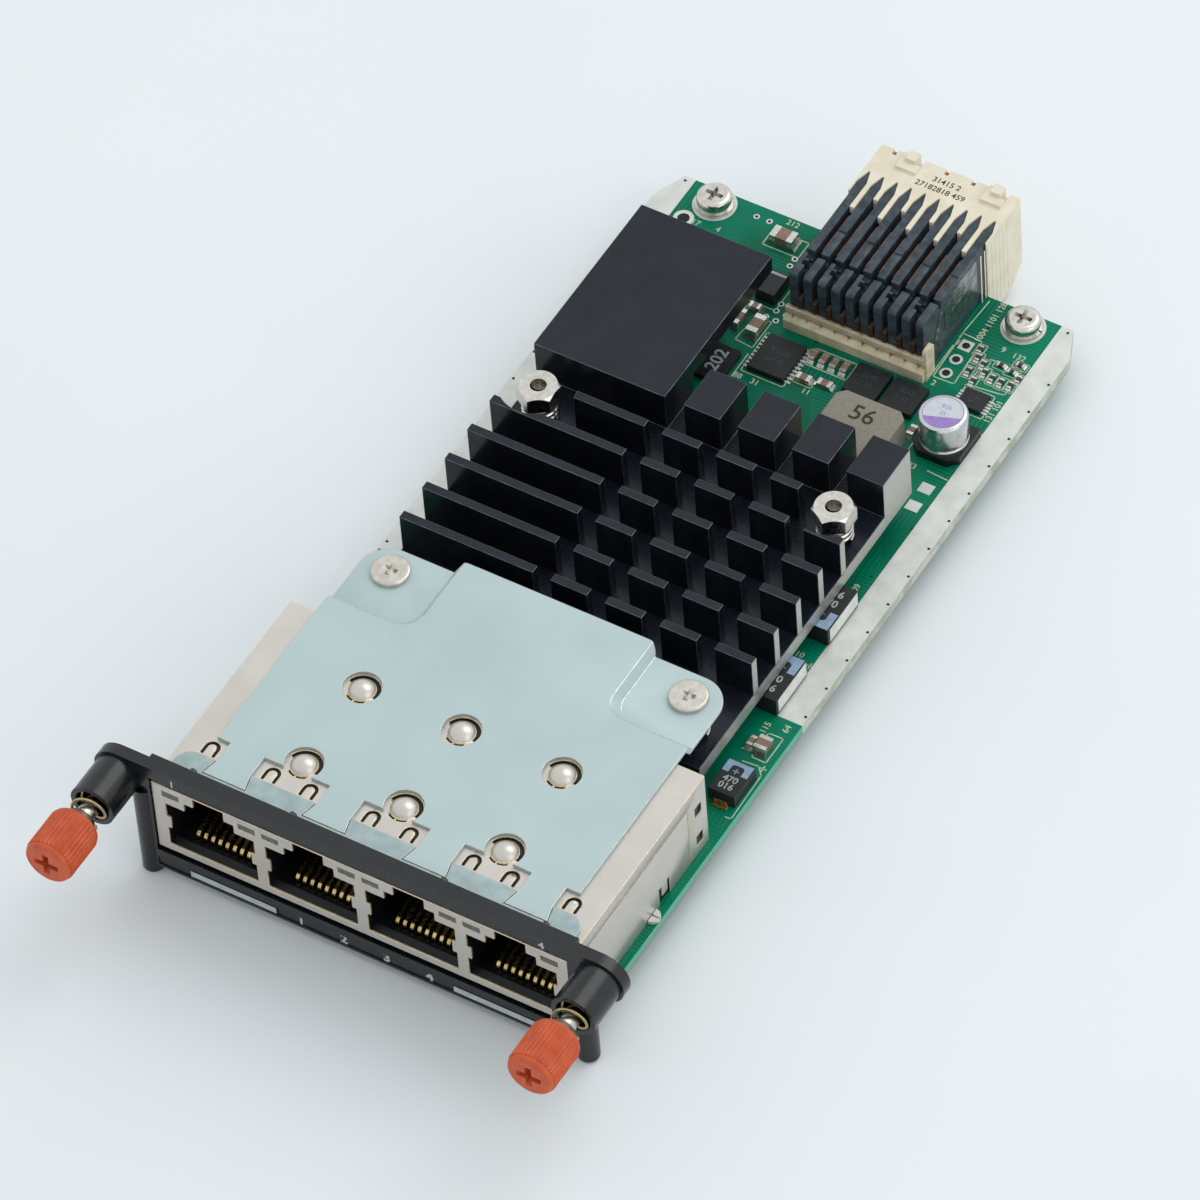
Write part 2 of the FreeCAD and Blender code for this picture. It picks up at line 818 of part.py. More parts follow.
# Moulded insert that fills the shield, with one stepped cavity for each port.
def make_jack_housing():
    half = shield_half - shield_sheet - housing_clearance
    front = shield_sheet + housing_clearance
    rear = shield_depth - shield_sheet - housing_clearance
    body = box(-half, half, front, rear, 0, shield_height - shield_sheet - housing_clearance)
    tools = []
    for centre in port_centres:
        cavity = prism(port_outline(centre, front - 1, 0), Vector(0, port_depth + 1, 0))
        left = centre - port_width / 2
        slope = prism([Vector(left, front - clearance, port_floor + clearance),
                       Vector(left, front - clearance, port_floor - port_lead_drop),
                       Vector(left, front + port_lead_in, port_floor + clearance)], Vector(port_width, 0, 0))
        tools += [cavity, slope]
        for i in range(contacts_per_port):
            x = centre + contact_pitch * (i - (contacts_per_port - 1) / 2)
            half_slot = contact_width / 2 + clearance
            tools.append(box(x - half_slot, x + half_slot, contact_front - 3 * clearance,
                             port_depth - contact_end_gap + 4 * clearance,
                             contact_low - contact_thickness - clearance, port_floor + 2 * clearance))
        for direction in (-1, 1):
            middle = centre + direction * (window_inset + window_width / 2)
            tools.append(box(middle - window_width / 2, middle + window_width / 2, 0, light_rear + 2 * clearance,
                             window_base, window_base + window_height))
    return cut(body, tools)


# Spring contacts: each wire runs forward in the floor, turns back and rises into the port.
def make_jack_contacts():
    turn = Vector(0, contact_front + contact_bend, contact_low + contact_bend - contact_thickness / 2)
    contacts = []
    outer = contact_bend
    inner = contact_bend - contact_thickness
    slope = math.atan2(contact_rise - (turn.z + outer), contact_rear - turn.y)
    top_angle = math.pi / 2 + slope

    def at(radius, angle):
        return Vector(0, turn.y + radius * math.cos(angle), turn.z + radius * math.sin(angle))

    low_outer = at(outer, -math.pi / 2)
    low_inner = at(inner, -math.pi / 2)
    high_outer = at(outer, top_angle)
    high_inner = at(inner, top_angle)
    rise = Vector(0, math.cos(slope), math.sin(slope)) * (contact_rear - turn.y)
    lower_rear = Vector(0, port_depth - contact_end_gap, 0)
    wire = Part.Wire([
        Part.makeLine(low_outer, Vector(0, lower_rear.y, low_outer.z)),
        Part.makeLine(Vector(0, lower_rear.y, low_outer.z), Vector(0, lower_rear.y, low_inner.z)),
        Part.makeLine(Vector(0, lower_rear.y, low_inner.z), low_inner),
        Part.Arc(low_inner, at(inner, (top_angle + 3 * math.pi / 2) / 2), high_inner).toShape(),
        Part.makeLine(high_inner, high_inner + rise),
        Part.makeLine(high_inner + rise, high_outer + rise),
        Part.makeLine(high_outer + rise, high_outer),
        Part.Arc(high_outer, at(outer, (top_angle + 3 * math.pi / 2) / 2), low_outer).toShape(),
    ])
    single = Part.Face(wire).extrude(Vector(contact_width, 0, 0))
    for centre in port_centres:
        for i in range(contacts_per_port):
            x = centre + contact_pitch * (i - (contacts_per_port - 1) / 2) - contact_width / 2
            contact = single.copy()
            contact.translate(Vector(x, 0, 0))
            contacts.append(contact)
    return contacts


# Clear light guides behind the indicator windows.
def make_indicator_lights():
    lights = []
    for centre in port_centres:
        for direction in (-1, 1):
            middle = centre + direction * (window_inset + window_width / 2)
            half = window_width / 2 - clearance
            lights.append(box(middle - half, middle + half, light_front, light_rear,
                              window_base + clearance, window_base + window_height - clearance))
    return lights


# Sheet cover: dovetail tabs in front, vents over the jack, two sunk pads for its screws.
def make_cover_plate():
    z0 = cover_bottom
    z1 = cover_top
    front = flange_rear + notch_depth
    body = box(-cover_half_width, cover_half_width, front, cover_rear, z0, z1)
    below = mirror_pair(sunk_region(cover_sheet, pad_bottom, z0 + clearance))
    above = mirror_pair(sunk_region(0, pad_top, z1 + clearance))
    body = cut(join([body] + below), above)
    trim = box(-cover_half_width, cover_half_width, front, pad_rear, pad_bottom, z1)
    trim = trim.makeFillet(cover_corner, upright_edges(trim, cover_half_width, pad_rear)
                           + upright_edges(trim, -cover_half_width, pad_rear))
    middle = box(-pad_half_gap, pad_half_gap, pad_front, cover_rear, pad_bottom, z1)
    middle = middle.makeFillet(middle_corner, upright_edges(middle, pad_half_gap, cover_rear)
                               + upright_edges(middle, -pad_half_gap, cover_rear))
    body = body.common(join([trim, middle]))
    body = join([body] + [tab_shape(centre, 0, z0, z1) for centre in port_centres])
    tools = []
    for x in wall_centres:
        for y in (dome_front_y, dome_rear_y):
            tools.append(post(vent_radius, x, y, z0 - 1, z1 + 1))
    tools += mirror_pair(post(cover_screw_shank + 2 * clearance, mount_x, mount_front_y,
                              pad_bottom - 1, pad_top + 1))
    return cut(body, tools)


# The hollow over the right sunk pad, with a rounded inner corner and sides that slope outwards.
def sunk_region(grow, floor, top):
    rings = []
    for spread, z in ((grow, floor), (grow + pad_slope, top)):
        x0 = pad_half_gap - spread
        y0 = pad_front - spread
        x1 = cover_half_width + 1
        y1 = cover_rear + 1
        arc_middle = pad_corner * (1 - math.sqrt(0.5))
        arc = Part.Arc(Vector(x0, y0 + pad_corner, z), Vector(x0 + arc_middle, y0 + arc_middle, z),
                       Vector(x0 + pad_corner, y0, z)).toShape()
        corners = [(x0 + pad_corner, y0), (x1, y0), (x1, y1), (x0, y1), (x0, y0 + pad_corner)]
        points = [Vector(x, y, z) for x, y in corners]
        lines = [Part.makeLine(start, end) for start, end in zip(points, points[1:])]
        rings.append(Part.Wire([arc] + lines))
    return Part.makeLoft(rings, True, True)


def make_cover_screws():
    screw = pan_screw(cover_screw_head, cover_screw_head_height, cover_screw_shank,
                      cover_screw_length, cover_screw_recess)
    screw.translate(Vector(mount_x, mount_front_y, pad_top))
    return mirror_pair(screw)


# Left and right ends of the fins in one row: a long one on the left, then the short ones.
def fin_spans():
    half = sink_half_width
    spans = [(-half, half - pin_pitch * pin_columns)]
    for i in range(pin_columns):
        right = half - pin_pitch * i
        spans.append((right - pin_width, right))
    return spans


# The room that both fins and posts leave round the rear standoffs.
def mount_room():
    return mirror_pair(post(mount_clear, mount_x, mount_rear_y, sink_base_top, sink_top + 1))


# Cast heat sink: base over the chip, thick rear posts and a raised slab.
def make_heat_sink():
    half = sink_half_width
    base = box(-half, half, sink_front, sink_post_rear, sink_base_bottom, sink_base_top)
    solids = [base]
    slab_right = slab_width - half
    for x0, x1 in fin_spans()[1:]:
        solids.append(box(x0, x1, post_front, sink_post_rear, sink_base_top, sink_top))
    solids.append(box(-half, slab_right, post_front, sink_post_rear, sink_base_top, sink_top))
    solids.append(box(-half, slab_right, post_front, sink_rear, sink_top - slab_thickness, sink_top))
    body = join(solids)
    tools = mount_room()
    hole = standoff_shank + shank_clearance
    for y in (mount_front_y, mount_rear_y):
        tools += mirror_pair(post(hole, mount_x, y, sink_base_bottom - 1, sink_base_top + 1))
    return cut(body, tools)


# Rows of fins of the same casting, standing on its base.
def make_sink_fins():
    room = mount_room()
    fins = []
    for row in range(fin_rows):
        y = fin_front + fin_pitch * row
        for x0, x1 in fin_spans():
            fin = cut(box(x0, x1, y, y + fin_thickness, sink_base_top, sink_top), room)
            fins += fin.Solids
    return fins


def mount_places():
    return [(x, y) for x in (-mount_x, mount_x) for y in (mount_front_y, mount_rear_y)]


# Sprung standoffs: tapped hexagon on top, shank through the base and board, shoulder on the board.
def make_sink_standoffs():
    standoffs = []
    tail = board_bottom - nut_height - nut_tail
    for x, y in mount_places():
        head = hexagon(standoff_hex, x, y, standoff_neck, standoff_top)
        head = head.common(chamfer_cone(standoff_hex / math.sqrt(3), x, y, standoff_neck, standoff_top))
        shank = post(standoff_shank, x, y, tail, standoff_neck)
        shoulder = post(standoff_shoulder, x, y, 0, shoulder_height)
        body = join([head, shank, shoulder])
        standoffs.append(body.cut(post(tap_radius, x, y, standoff_top - tap_depth, standoff_top + 1)))
    return standoffs


# A cylinder with a bevelled top rim, which trims a hexagon's upper corners.
def chamfer_cone(radius, x, y, z0, z1):
    body = post(radius, x, y, z0, z1)
    return body.makeChamfer(standoff_bevel, level_edges(body, z1, True))


def make_sink_springs():
    springs = []
    height = standoff_neck - sink_base_top - 2 * clearance
    single = coil(sink_spring_radius, sink_spring_wire, height, sink_spring_turns)
    for x, y in mount_places():
        spring = single.copy()
        spring.translate(Vector(x, y, sink_base_top + clearance))
        springs.append(spring)
    return springs


def make_sink_nuts():
    nuts = []
    for x, y in mount_places():
        nut = hexagon(nut_hex, x, y, board_bottom - nut_height, board_bottom)
        nuts.append(nut.cut(post(standoff_shank + clearance, x, y, board_bottom - nut_height - 1, 1)))
    return nuts


def make_main_chip():
    half = chip_size / 2
    carrier = box(-half, half, chip_y - half, chip_y + half, 0, chip_carrier_height)
    cap_half = half - chip_cap_inset
    cap = box(-cap_half, cap_half, chip_y - cap_half, chip_y + cap_half, chip_carrier_height, chip_height)
    return join([carrier, cap])


def make_thermal_pad():
    half = chip_size / 2 - thermal_pad_inset
    return box(-half, half, chip_y - half, chip_y + half, chip_height, sink_base_bottom)


# Board with bevelled rear corners and its drilled holes.
def make_circuit_board():
    corners = [(board_half, board_front), (board_half, board_rear - board_corner_y),
               (board_half - board_corner_x, board_rear)]
    right = [Vector(x, y, board_bottom) for x, y in corners]
    left = [Vector(-x, y, board_bottom) for x, y in reversed(corners)]
    body = prism(right + left, Vector(0, 0, board_thickness))
    low = board_bottom - 1
    tools = mirror_pair(post(rear_screw_shank + 2 * clearance, rear_screw_x, rear_screw_y, low, 1))
    tools += mirror_pair(post(insert_radius + clearance, foot_screw_x, foot_screw_y, low, 1))
    for x, y in mount_places():
        tools.append(post(standoff_shank + clearance, x, y, low, 1))
    for i in range(header_count):
        tools.append(post(header_hole, header_x, board_rear - header_setback - header_pitch * i, low, 1))
    tools.append(post(spare_hole, spare_hole_inset - board_half, board_rear - spare_hole_setback, low, 1))
    return cut(body, tools)


def make_board_screws():
    head_seat = rear_washer_height
    screw = pan_screw(rear_screw_head, rear_screw_head_height, rear_screw_shank,
                      head_seat + board_thickness + rear_screw_reach)
    screw.translate(Vector(rear_screw_x, rear_screw_y, head_seat))
    return mirror_pair(screw)


# Split spring washers under the rear screws.
def make_spring_washers():
    ring = post(rear_washer_radius, rear_screw_x, rear_screw_y, 0, rear_washer_height)
    ring = ring.cut(post(rear_screw_shank + clearance, rear_screw_x, rear_screw_y, -1, 2))
    slit = box(rear_screw_x, rear_screw_x + 2 * rear_washer_radius, rear_screw_y - rear_washer_slit / 2,
               rear_screw_y + rear_washer_slit / 2, -1, 2)
    return mirror_pair(ring.cut(slit))


# Hexagonal spacers that the rear of the card stands on, tapped from both ends.
def make_rear_spacers():
    body = hexagon(rear_spacer_hex, rear_screw_x, rear_screw_y, foot_level, board_bottom)
    body = body.cut(post(rear_screw_shank + clearance, rear_screw_x, rear_screw_y, foot_level - 1, 1))
    return mirror_pair(body)


# Cream housing of the rear connector, with wafer slots, keys and a grid of contact pockets.
def make_connector_housing():
    x0 = connector_x - connector_half + housing_margin
    x1 = connector_x + connector_half - housing_margin
    profile = [(housing_front, housing_bottom), (housing_rear - housing_chamfer_y, housing_bottom),
               (housing_rear, housing_bottom + housing_chamfer_z), (housing_rear, housing_top),
               (housing_front, housing_top)]
    solids = [prism([Vector(x0, y, z) for y, z in profile], Vector(x1 - x0, 0, 0))]
    for i in range(0, column_count - 1, 2):
        middle = (column_centres[i] + column_centres[i + 1]) / 2
        half = (column_pitch - wafer_thickness) / 2 - slot_gap
        solids.append(box(middle - half, middle + half, finger_front, housing_front + 1,
                          housing_top - finger_height, housing_top))
    tools = []
    for offset in key_offsets:
        x = connector_x + offset
        left = x - key_width / 2
        solids.append(box(left, left + key_width, housing_rear - key_length, housing_rear,
                          housing_top, housing_top + key_height))
        solids.append(box(x - lug_width / 2, x + lug_width / 2, housing_rear - lug_length, housing_rear,
                          housing_top, housing_top + lug_height))
        tools.append(box(x + lug_width / 2, x + lug_width / 2 + key_pocket, housing_rear - lug_length,
                         housing_rear + 1, housing_top - key_pocket_depth, housing_top + 1))
    for offset in gate_offsets:
        x = connector_x + offset
        tools.append(box(x - gate_width / 2, x + gate_width / 2, housing_rear - gate_length, housing_rear + 1,
                         housing_top - gate_depth, housing_top + 1))
    for x in column_centres:
        tools.append(wafer_solid(x, slot_gap, housing_front - finger_length - 1, slot_head_room))
        for row in range(socket_rows):
            z = housing_bottom + housing_chamfer_z + socket_base + row * socket_pitch
            tools.append(box(x - socket_width / 2, x + socket_width / 2, housing_rear - socket_depth,
                             housing_rear + 1, z, z + socket_height))
    return cut(join(solids), tools)


# Plan of a wafer, pointed at its rear end, drawn up to its full height.
def wafer_solid(x, grow, front, head_room):
    half = wafer_thickness / 2 + grow
    tip_start = wafer_tip - wafer_tip_length
    point = wafer_tip_width / 2
    plan = [(-half, front), (half, front), (half, tip_start), (point, wafer_tip + grow),
            (-point, wafer_tip + grow), (-half, tip_start)]
    base = clearance - grow
    points = [Vector(x + dx, y, base) for dx, y in plan]
    return prism(points, Vector(0, 0, wafer_top + head_room - base))


# Wafers: rounded in front and notched across the top. Every second one has a hump,
# and the others have two pockets before the notch.
def make_connector_wafers():
    above = wafer_top + 1
    half = wafer_thickness / 2
    notch_front = wafer_front + wafer_notch_y
    hump_front = wafer_front + wafer_hump_y
    wafers = []
    for i, x in enumerate(column_centres):
        wafer = wafer_solid(x, 0, wafer_front, 0)
        crest = []
        for edge in level_edges(wafer, wafer_top):
            bounds = edge.BoundBox
            if bounds.YLength < 0.001 and bounds.YMin < wafer_front + wafer_round:
                crest.append(edge)
        wafer = wafer.makeFillet(wafer_round, crest)
        tools = [box(x - half - 1, x + half + 1, notch_front, notch_front + wafer_notch_length,
                     wafer_top - wafer_notch_depth, above)]
        if i % 2 == 0:
            for share in (0, 1):
                y = wafer_front + wafer_pocket_y + share * (wafer_pocket_length + wafer_pocket_gap)
                tools.append(box(x, x + half + 1, y, y + wafer_pocket_length,
                                 wafer_top - wafer_pocket_depth, above))
        wafer = cut(wafer, tools)
        if i % 2 == 1:
            hump = box(x - half, x + half, hump_front, hump_front + wafer_hump_length,
                       wafer_top - 1, wafer_top + wafer_hump_height)
            wafer = join([wafer, hump])
        wafers.append(wafer)
    return wafers


# Copper blades seen between the wafers, standing on the board.
def make_connector_blades():
    front = wafer_front + blade_setback
    rear = finger_front - blade_end_gap
    blades = []
    for left, right in zip(column_centres, column_centres[1:]):
        x = (left + right) / 2
        blades.append(box(x - blade_thickness / 2, x + blade_thickness / 2, front, rear,
                          0, wafer_top - blade_drop))
    return blades


# Comb that holds the wafers' front ends: a sill with a sloped top, a rail over a row of
# small holes, ribs between the wafers and an ear at the right end.
def make_connector_comb():
    x0 = connector_x - connector_half
    x1 = connector_x + connector_half
    rear = wafer_front - clearance
    front = rear - comb_depth
    rail_front = rear - comb_rail_depth
    slope_rear = front + comb_slope_depth
    profile = [(front, 0), (front, comb_step_height), (slope_rear, comb_slope_height),
               (slope_rear, comb_rail_low), (rail_front, comb_rail_low), (rail_front, comb_height),
               (rear, comb_height), (rear, 0)]
    bar = prism([Vector(x0, y, z) for y, z in profile], Vector(x1 - x0, 0, 0))
    holes = []
    half = comb_hole_width / 2
    for x in column_centres:
        corners = [(x - half, comb_rail_low), (x + half, comb_rail_low), (x, comb_hole_low)]
        holes.append(prism([Vector(px, front - 1, pz) for px, pz in corners],
                           Vector(0, 1 + comb_depth - comb_hole_wall, 0)))
    parts = [cut(bar, holes)]
    for left, right in zip(column_centres, column_centres[1:]):
        x = (left + right) / 2
        parts.append(box(x - comb_rib_width / 2, x + comb_rib_width / 2,
                         rear - comb_hole_wall, rear + comb_rib_depth, 0, comb_rib_height))
    ear_left = column_centres[-1] + wafer_thickness / 2 + clearance
    ear = box(ear_left, ear_left + comb_ear_width, rail_front, rear + comb_ear_depth, 0, comb_ear_height)
    rounded = []
    for edge in level_edges(ear, comb_ear_height):
        if edge.BoundBox.YLength < 0.001:
            rounded.append(edge)
    parts.append(ear.makeFillet(comb_ear_round, rounded))
    return join(parts)


# Press-fit tails of the connector under the board.
def make_connector_tails():
    tails = []
    half = tail_size / 2
    for x in column_centres:
        for row in range(tail_rows):
            y = wafer_front + tail_setback + tail_pitch * row
            tails.append(box(x - half, x + half, y - half, y + half, board_bottom - tail_length, board_bottom))
    return tails


# Block with bevelled upright corners, used for chips and moulded parts.
def chip_block(x, y, width, length, height, bevel=0.0):
    body = box(x - width / 2, x + width / 2, y - length / 2, y + length / 2, solder, height)
    if bevel > 0:
        edges = []
        for edge in body.Edges:
            bounds = edge.BoundBox
            if bounds.XLength < 0.001 and bounds.YLength < 0.001:
                edges.append(edge)
        body = body.makeChamfer(bevel, edges)
    return body


def make_inductor():
    body = chip_block(inductor_x, inductor_y, inductor_size, inductor_size, inductor_height, inductor_bevel)
    return body.makeFillet(inductor_round, level_edges(body, inductor_height))


def make_inductor_terminals():
    edge = inductor_size / 2
    half = terminal_width / 2
    terminals = []
    for start in (-edge - terminal_reach, edge):
        terminals.append(box(inductor_x + start, inductor_x + start + terminal_reach,
                             inductor_y - half, inductor_y + half, 0, terminal_height))
    return terminals


def make_can_capacitor():
    body = post(can_radius, can_x, can_y, can_base_height, can_height)
    body = body.makeFillet(can_round, level_edges(body, can_height, True))
    groove = Part.makeTorus(can_radius + can_groove_offset, can_groove_radius,
                            Vector(can_x, can_y, can_base_height + can_groove_rise))
    return body.cut(groove)


def make_can_base():
    body = chip_block(can_x, can_y, can_base_size, can_base_size, can_base_height)
    corners = upright_edges(body, can_x + can_base_size / 2, can_y - can_base_size / 2)
    corners += upright_edges(body, can_x - can_base_size / 2, can_y - can_base_size / 2)
    return body.makeChamfer(can_base_bevel, corners)


# Blocks of one kind, each given by its distances from the right and rear edges,
# its width, its length and its height.
def rear_blocks(rows):
    blocks = []
    for inset, setback, width, length, height in rows:
        blocks.append(chip_block(board_half - inset, board_rear - setback, width, length, height))
    return blocks


def make_power_chips():
    return rear_blocks([(20.1, 20.0, 4.7, 4.9, 1.0), (14.9, 20.0, 4.6, 4.9, 1.0),
                        (38.1, 25.9, 3.5, 5.7, 1.0)])


controller = (32.1, 21.6, 5.2, 6.1, 0.9)
driver = (7.1, 16.3, 3.3, 3.0, 0.8)


def make_controller_chips():
    return rear_blocks([controller, driver])


# A row of flat leads on each side of both chips.
def make_chip_leads():
    leads = []
    rows = [(controller, controller_leads, controller_pitch), (driver, driver_leads, driver_pitch)]
    for chip, count, pitch in rows:
        inset, setback, width = chip[:3]
        for i in range(count):
            y = board_rear - setback + pitch * (i - (count - 1) / 2)
            for start in (-width / 2 - lead_reach, width / 2):
                x = board_half - inset + start
                leads.append(box(x, x + lead_reach, y - lead_width / 2, y + lead_width / 2, 0, lead_height))
    return leads


# Moulded power module under the heat sink's raised slab.
def make_power_module():
    right = board_half - module_inset
    rear = board_rear - module_setback
    top = sink_top - slab_thickness - clearance
    return box(right - module_width, right, rear - module_length, rear, 0, top)


# Two blocks beside the heat sink and a lower one in front of it.
def make_tantalum_capacitors():
    x = board_half - tantalum_inset
    y = mount_rear_y - tantalum_setback
    blocks = []
    for place in (y, y - tantalum_pitch):
        blocks.append(chip_block(x, place, tantalum_width, tantalum_length, tantalum_height))
    low_x = board_half - low_tantalum_inset
    low_y = mount_front_y - low_tantalum_advance
    blocks.append(chip_block(low_x, low_y, low_tantalum_width, low_tantalum_length, low_tantalum_height))
    return blocks


def make_ceramic_capacitors():
    rows = [(41.3, 3.9, 3.2, 1.9, 1.5), (36.95, 18.3, 1.5, 3.0, 1.3), (39.5, 18.1, 0.85, 2.6, 1.1),
            (38.8, 15.4, 1.5, 0.9, 0.8), (27.5, 22.9, 1.9, 1.0, 0.8), (24.8, 22.4, 1.9, 1.0, 0.6),
            (11.4, 24.1, 0.9, 1.6, 0.7)]
    rows += [(28.3 - 1.5 * i, 19.0, 0.85, 1.7, 0.8) for i in range(4)]
    x = board_half - pair_inset
    y = mount_front_y + pair_setback
    pair = [chip_block(x, y, 1.7, 2.1, 1.2), chip_block(x - pair_step, y, 0.8, 1.5, 0.7)]
    return rear_blocks(rows) + pair


# Small resistors in the right rear corner, most of them along the card.
def make_resistors():
    along = (0.6, 1.1, 0.4)
    across = (1.1, 0.6, 0.4)
    rows = [(10.2, 9.6) + along, (10.2, 12.1) + along, (9.1, 10.3) + along, (8.3, 11.4) + along,
            (7.0, 11.8) + along, (7.0, 9.4) + across, (5.7, 11.9) + along, (5.3, 9.8) + across,
            (4.9, 8.3) + across, (4.4, 11.8) + along, (4.0, 10.5) + along, (10.65, 8.3) + along,
            (8.9, 13.3) + along]
    return rear_blocks(rows)


def make_diode():
    return rear_blocks([(38.35, 11.9, 2.8, 4.0, 1.9)])


# Two bare pads of a part that isn't fitted.
def make_footprint_pads():
    x = board_half - spare_pad_inset
    pads = []
    for setback in spare_pad_setbacks:
        y = board_rear - setback
        pads.append(box(x - spare_pad_width / 2, x + spare_pad_width / 2,
                        y - spare_pad_length / 2, y + spare_pad_length / 2, 0, solder))
    return pads


pieces = {
    "faceplate": [make_faceplate()],
    "front_bracket": [make_front_bracket()],
    "bracket_screws": make_bracket_screws(),
    "bracket_inserts": make_bracket_inserts(),
    "jack_shield": [make_jack_shield()],
    "shield_pegs": make_shield_pegs(),
    "jack_housing": [make_jack_housing()],
    "jack_contacts": make_jack_contacts(),
    "indicator_lights": make_indicator_lights(),
    "cover_plate": [make_cover_plate()],
    "cover_screws": make_cover_screws(),
    "heat_sink": [make_heat_sink()],
    "sink_fins": make_sink_fins(),
    "sink_standoffs": make_sink_standoffs(),
    "sink_springs": make_sink_springs(),
    "sink_nuts": make_sink_nuts(),
    "main_chip": [make_main_chip()],
    "thermal_pad": [make_thermal_pad()],
    "circuit_board": [make_circuit_board()],
    "board_screws": make_board_screws(),
    "spring_washers": make_spring_washers(),
    "rear_spacers": make_rear_spacers(),
    "connector_housing": [make_connector_housing()],
    "connector_wafers": make_connector_wafers(),
    "connector_blades": make_connector_blades(),
    "connector_comb": [make_connector_comb()],
    "connector_tails": make_connector_tails(),
    "inductor": [make_inductor()],
    "inductor_terminals": make_inductor_terminals(),
    "can_capacitor": [make_can_capacitor()],
    "can_base": [make_can_base()],
    "power_chips": make_power_chips(),
    "controller_chips": make_controller_chips(),
    "chip_leads": make_chip_leads(),
    "power_module": [make_power_module()],
    "tantalum_capacitors": make_tantalum_capacitors(),
    "ceramic_capacitors": make_ceramic_capacitors(),
    "resistors": make_resistors(),
    "diode": make_diode(),
    "footprint_pads": make_footprint_pads(),
}
for name, side in (("left", -1), ("right", 1)):
    pieces[name + "_knob"] = [make_knob(side)]
    pieces[name + "_captive_screw"] = [make_captive_screw(side)]
    pieces[name + "_spring_collar"] = [make_spring_collar(side)]
    pieces[name + "_thumb_spring"] = [make_thumb_spring(side)]

os.makedirs("parts", exist_ok=True)
place = Vector(0, -footprint_middle, -foot_level)
for name, solids in pieces.items():
    shape = solids[0] if len(solids) == 1 else Part.makeCompound(solids)
    shape.translate(place)
    shape.exportStep("parts/" + name + ".step")
    print(name, len(shape.Solids), round(shape.Volume, 2), shape.isValid())
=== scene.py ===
import math

import bmesh
import bpy
from mathutils import Matrix, Vector


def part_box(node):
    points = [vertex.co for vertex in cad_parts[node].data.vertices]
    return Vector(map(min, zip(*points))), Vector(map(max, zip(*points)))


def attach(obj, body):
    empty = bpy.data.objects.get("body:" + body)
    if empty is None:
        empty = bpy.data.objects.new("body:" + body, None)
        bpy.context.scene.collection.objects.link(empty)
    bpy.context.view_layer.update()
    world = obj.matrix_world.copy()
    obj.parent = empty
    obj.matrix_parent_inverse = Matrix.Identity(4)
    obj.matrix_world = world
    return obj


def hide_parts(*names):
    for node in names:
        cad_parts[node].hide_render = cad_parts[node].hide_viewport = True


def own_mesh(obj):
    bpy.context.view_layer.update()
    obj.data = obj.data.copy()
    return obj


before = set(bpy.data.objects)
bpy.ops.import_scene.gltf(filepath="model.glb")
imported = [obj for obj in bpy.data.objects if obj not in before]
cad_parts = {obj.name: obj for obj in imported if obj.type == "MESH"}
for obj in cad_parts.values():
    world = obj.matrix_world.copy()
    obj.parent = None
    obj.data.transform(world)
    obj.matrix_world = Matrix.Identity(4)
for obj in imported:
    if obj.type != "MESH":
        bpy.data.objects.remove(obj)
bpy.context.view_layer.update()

# Table and studio: a pale seamless table top under two large soft lamps and an even bright room.
# The card stands on the table with its front plate towards the lower left of the picture.
# A long lens looks down on it from the right of the front plate.
mm = 0.001
front_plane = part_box("jack_shield")[0].y
board_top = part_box("circuit_board")[1].z


def place(x, y, z):
    """A point given in mm from the card's middle, the jack's front plane and the board's top."""
    return Vector((x * mm, front_plane + y * mm, board_top + z * mm))


def srgb(red, green, blue):
    """A colour given in levels up to 255, as the linear values that a shader takes."""
    shares = [value / 255 for value in (red, green, blue)]
    linear = [c / 12.92 if c <= 0.04045 else ((c + 0.055) / 1.055) ** 2.4 for c in shares]
    return (*linear, 1.0)


bpy.context.scene.view_settings.view_transform = "Standard"
lens_place = place(438.44, -585.88, 919.35)
lens_turn = math.radians(34.364)
lens_drop = math.radians(49.695)
lens_roll = math.radians(-4.833)
lens = bpy.data.cameras.new("lens")
lens.sensor_width = 36.0
lens.lens = 296.6
lens.clip_end = 20.0
camera = bpy.data.objects.new("camera", lens)
turned = Matrix.Rotation(lens_turn, 4, "Z") @ Matrix.Rotation(math.pi / 2 - lens_drop, 4, "X")
camera.matrix_world = Matrix.Translation(lens_place) @ turned @ Matrix.Rotation(lens_roll, 4, "Z")
bpy.context.collection.objects.link(camera)
bpy.context.scene.camera = camera

room = bpy.data.worlds.new("room")
bpy.context.scene.world = room
room.use_nodes = True
air = room.node_tree.nodes["Background"]
air.inputs["Color"].default_value = (0.955, 0.985, 1.0, 1.0)
# The room counts less as light on matt surfaces than where it is seen or mirrored.
ambient = 0.765
rays = room.node_tree.nodes.new("ShaderNodeLightPath")
seen = rays.outputs["Is Camera Ray"]
for ray in ("Is Glossy Ray", "Is Transmission Ray"):
    either = room.node_tree.nodes.new("ShaderNodeMath")
    either.operation = "MAXIMUM"
    room.node_tree.links.new(seen, either.inputs[0])
    room.node_tree.links.new(rays.outputs[ray], either.inputs[1])
    seen = either.outputs[0]
level = room.node_tree.nodes.new("ShaderNodeMapRange")
level.inputs["To Min"].default_value = ambient
level.inputs["To Max"].default_value = 1.0
room.node_tree.links.new(seen, level.inputs["Value"])
room.node_tree.links.new(level.outputs["Result"], air.inputs["Strength"])


def soft_lamp(name, spot, size, power):
    """A round lamp at a spot, aimed at the middle of the table."""
    lamp = bpy.data.lights.new(name, "AREA")
    lamp.shape = "DISK"
    lamp.size = size
    lamp.energy = power
    holder = bpy.data.objects.new(name, lamp)
    aim = Vector(spot).to_track_quat("Z", "Y").to_matrix().to_4x4()
    holder.matrix_world = Matrix.Translation(spot) @ aim
    bpy.context.collection.objects.link(holder)


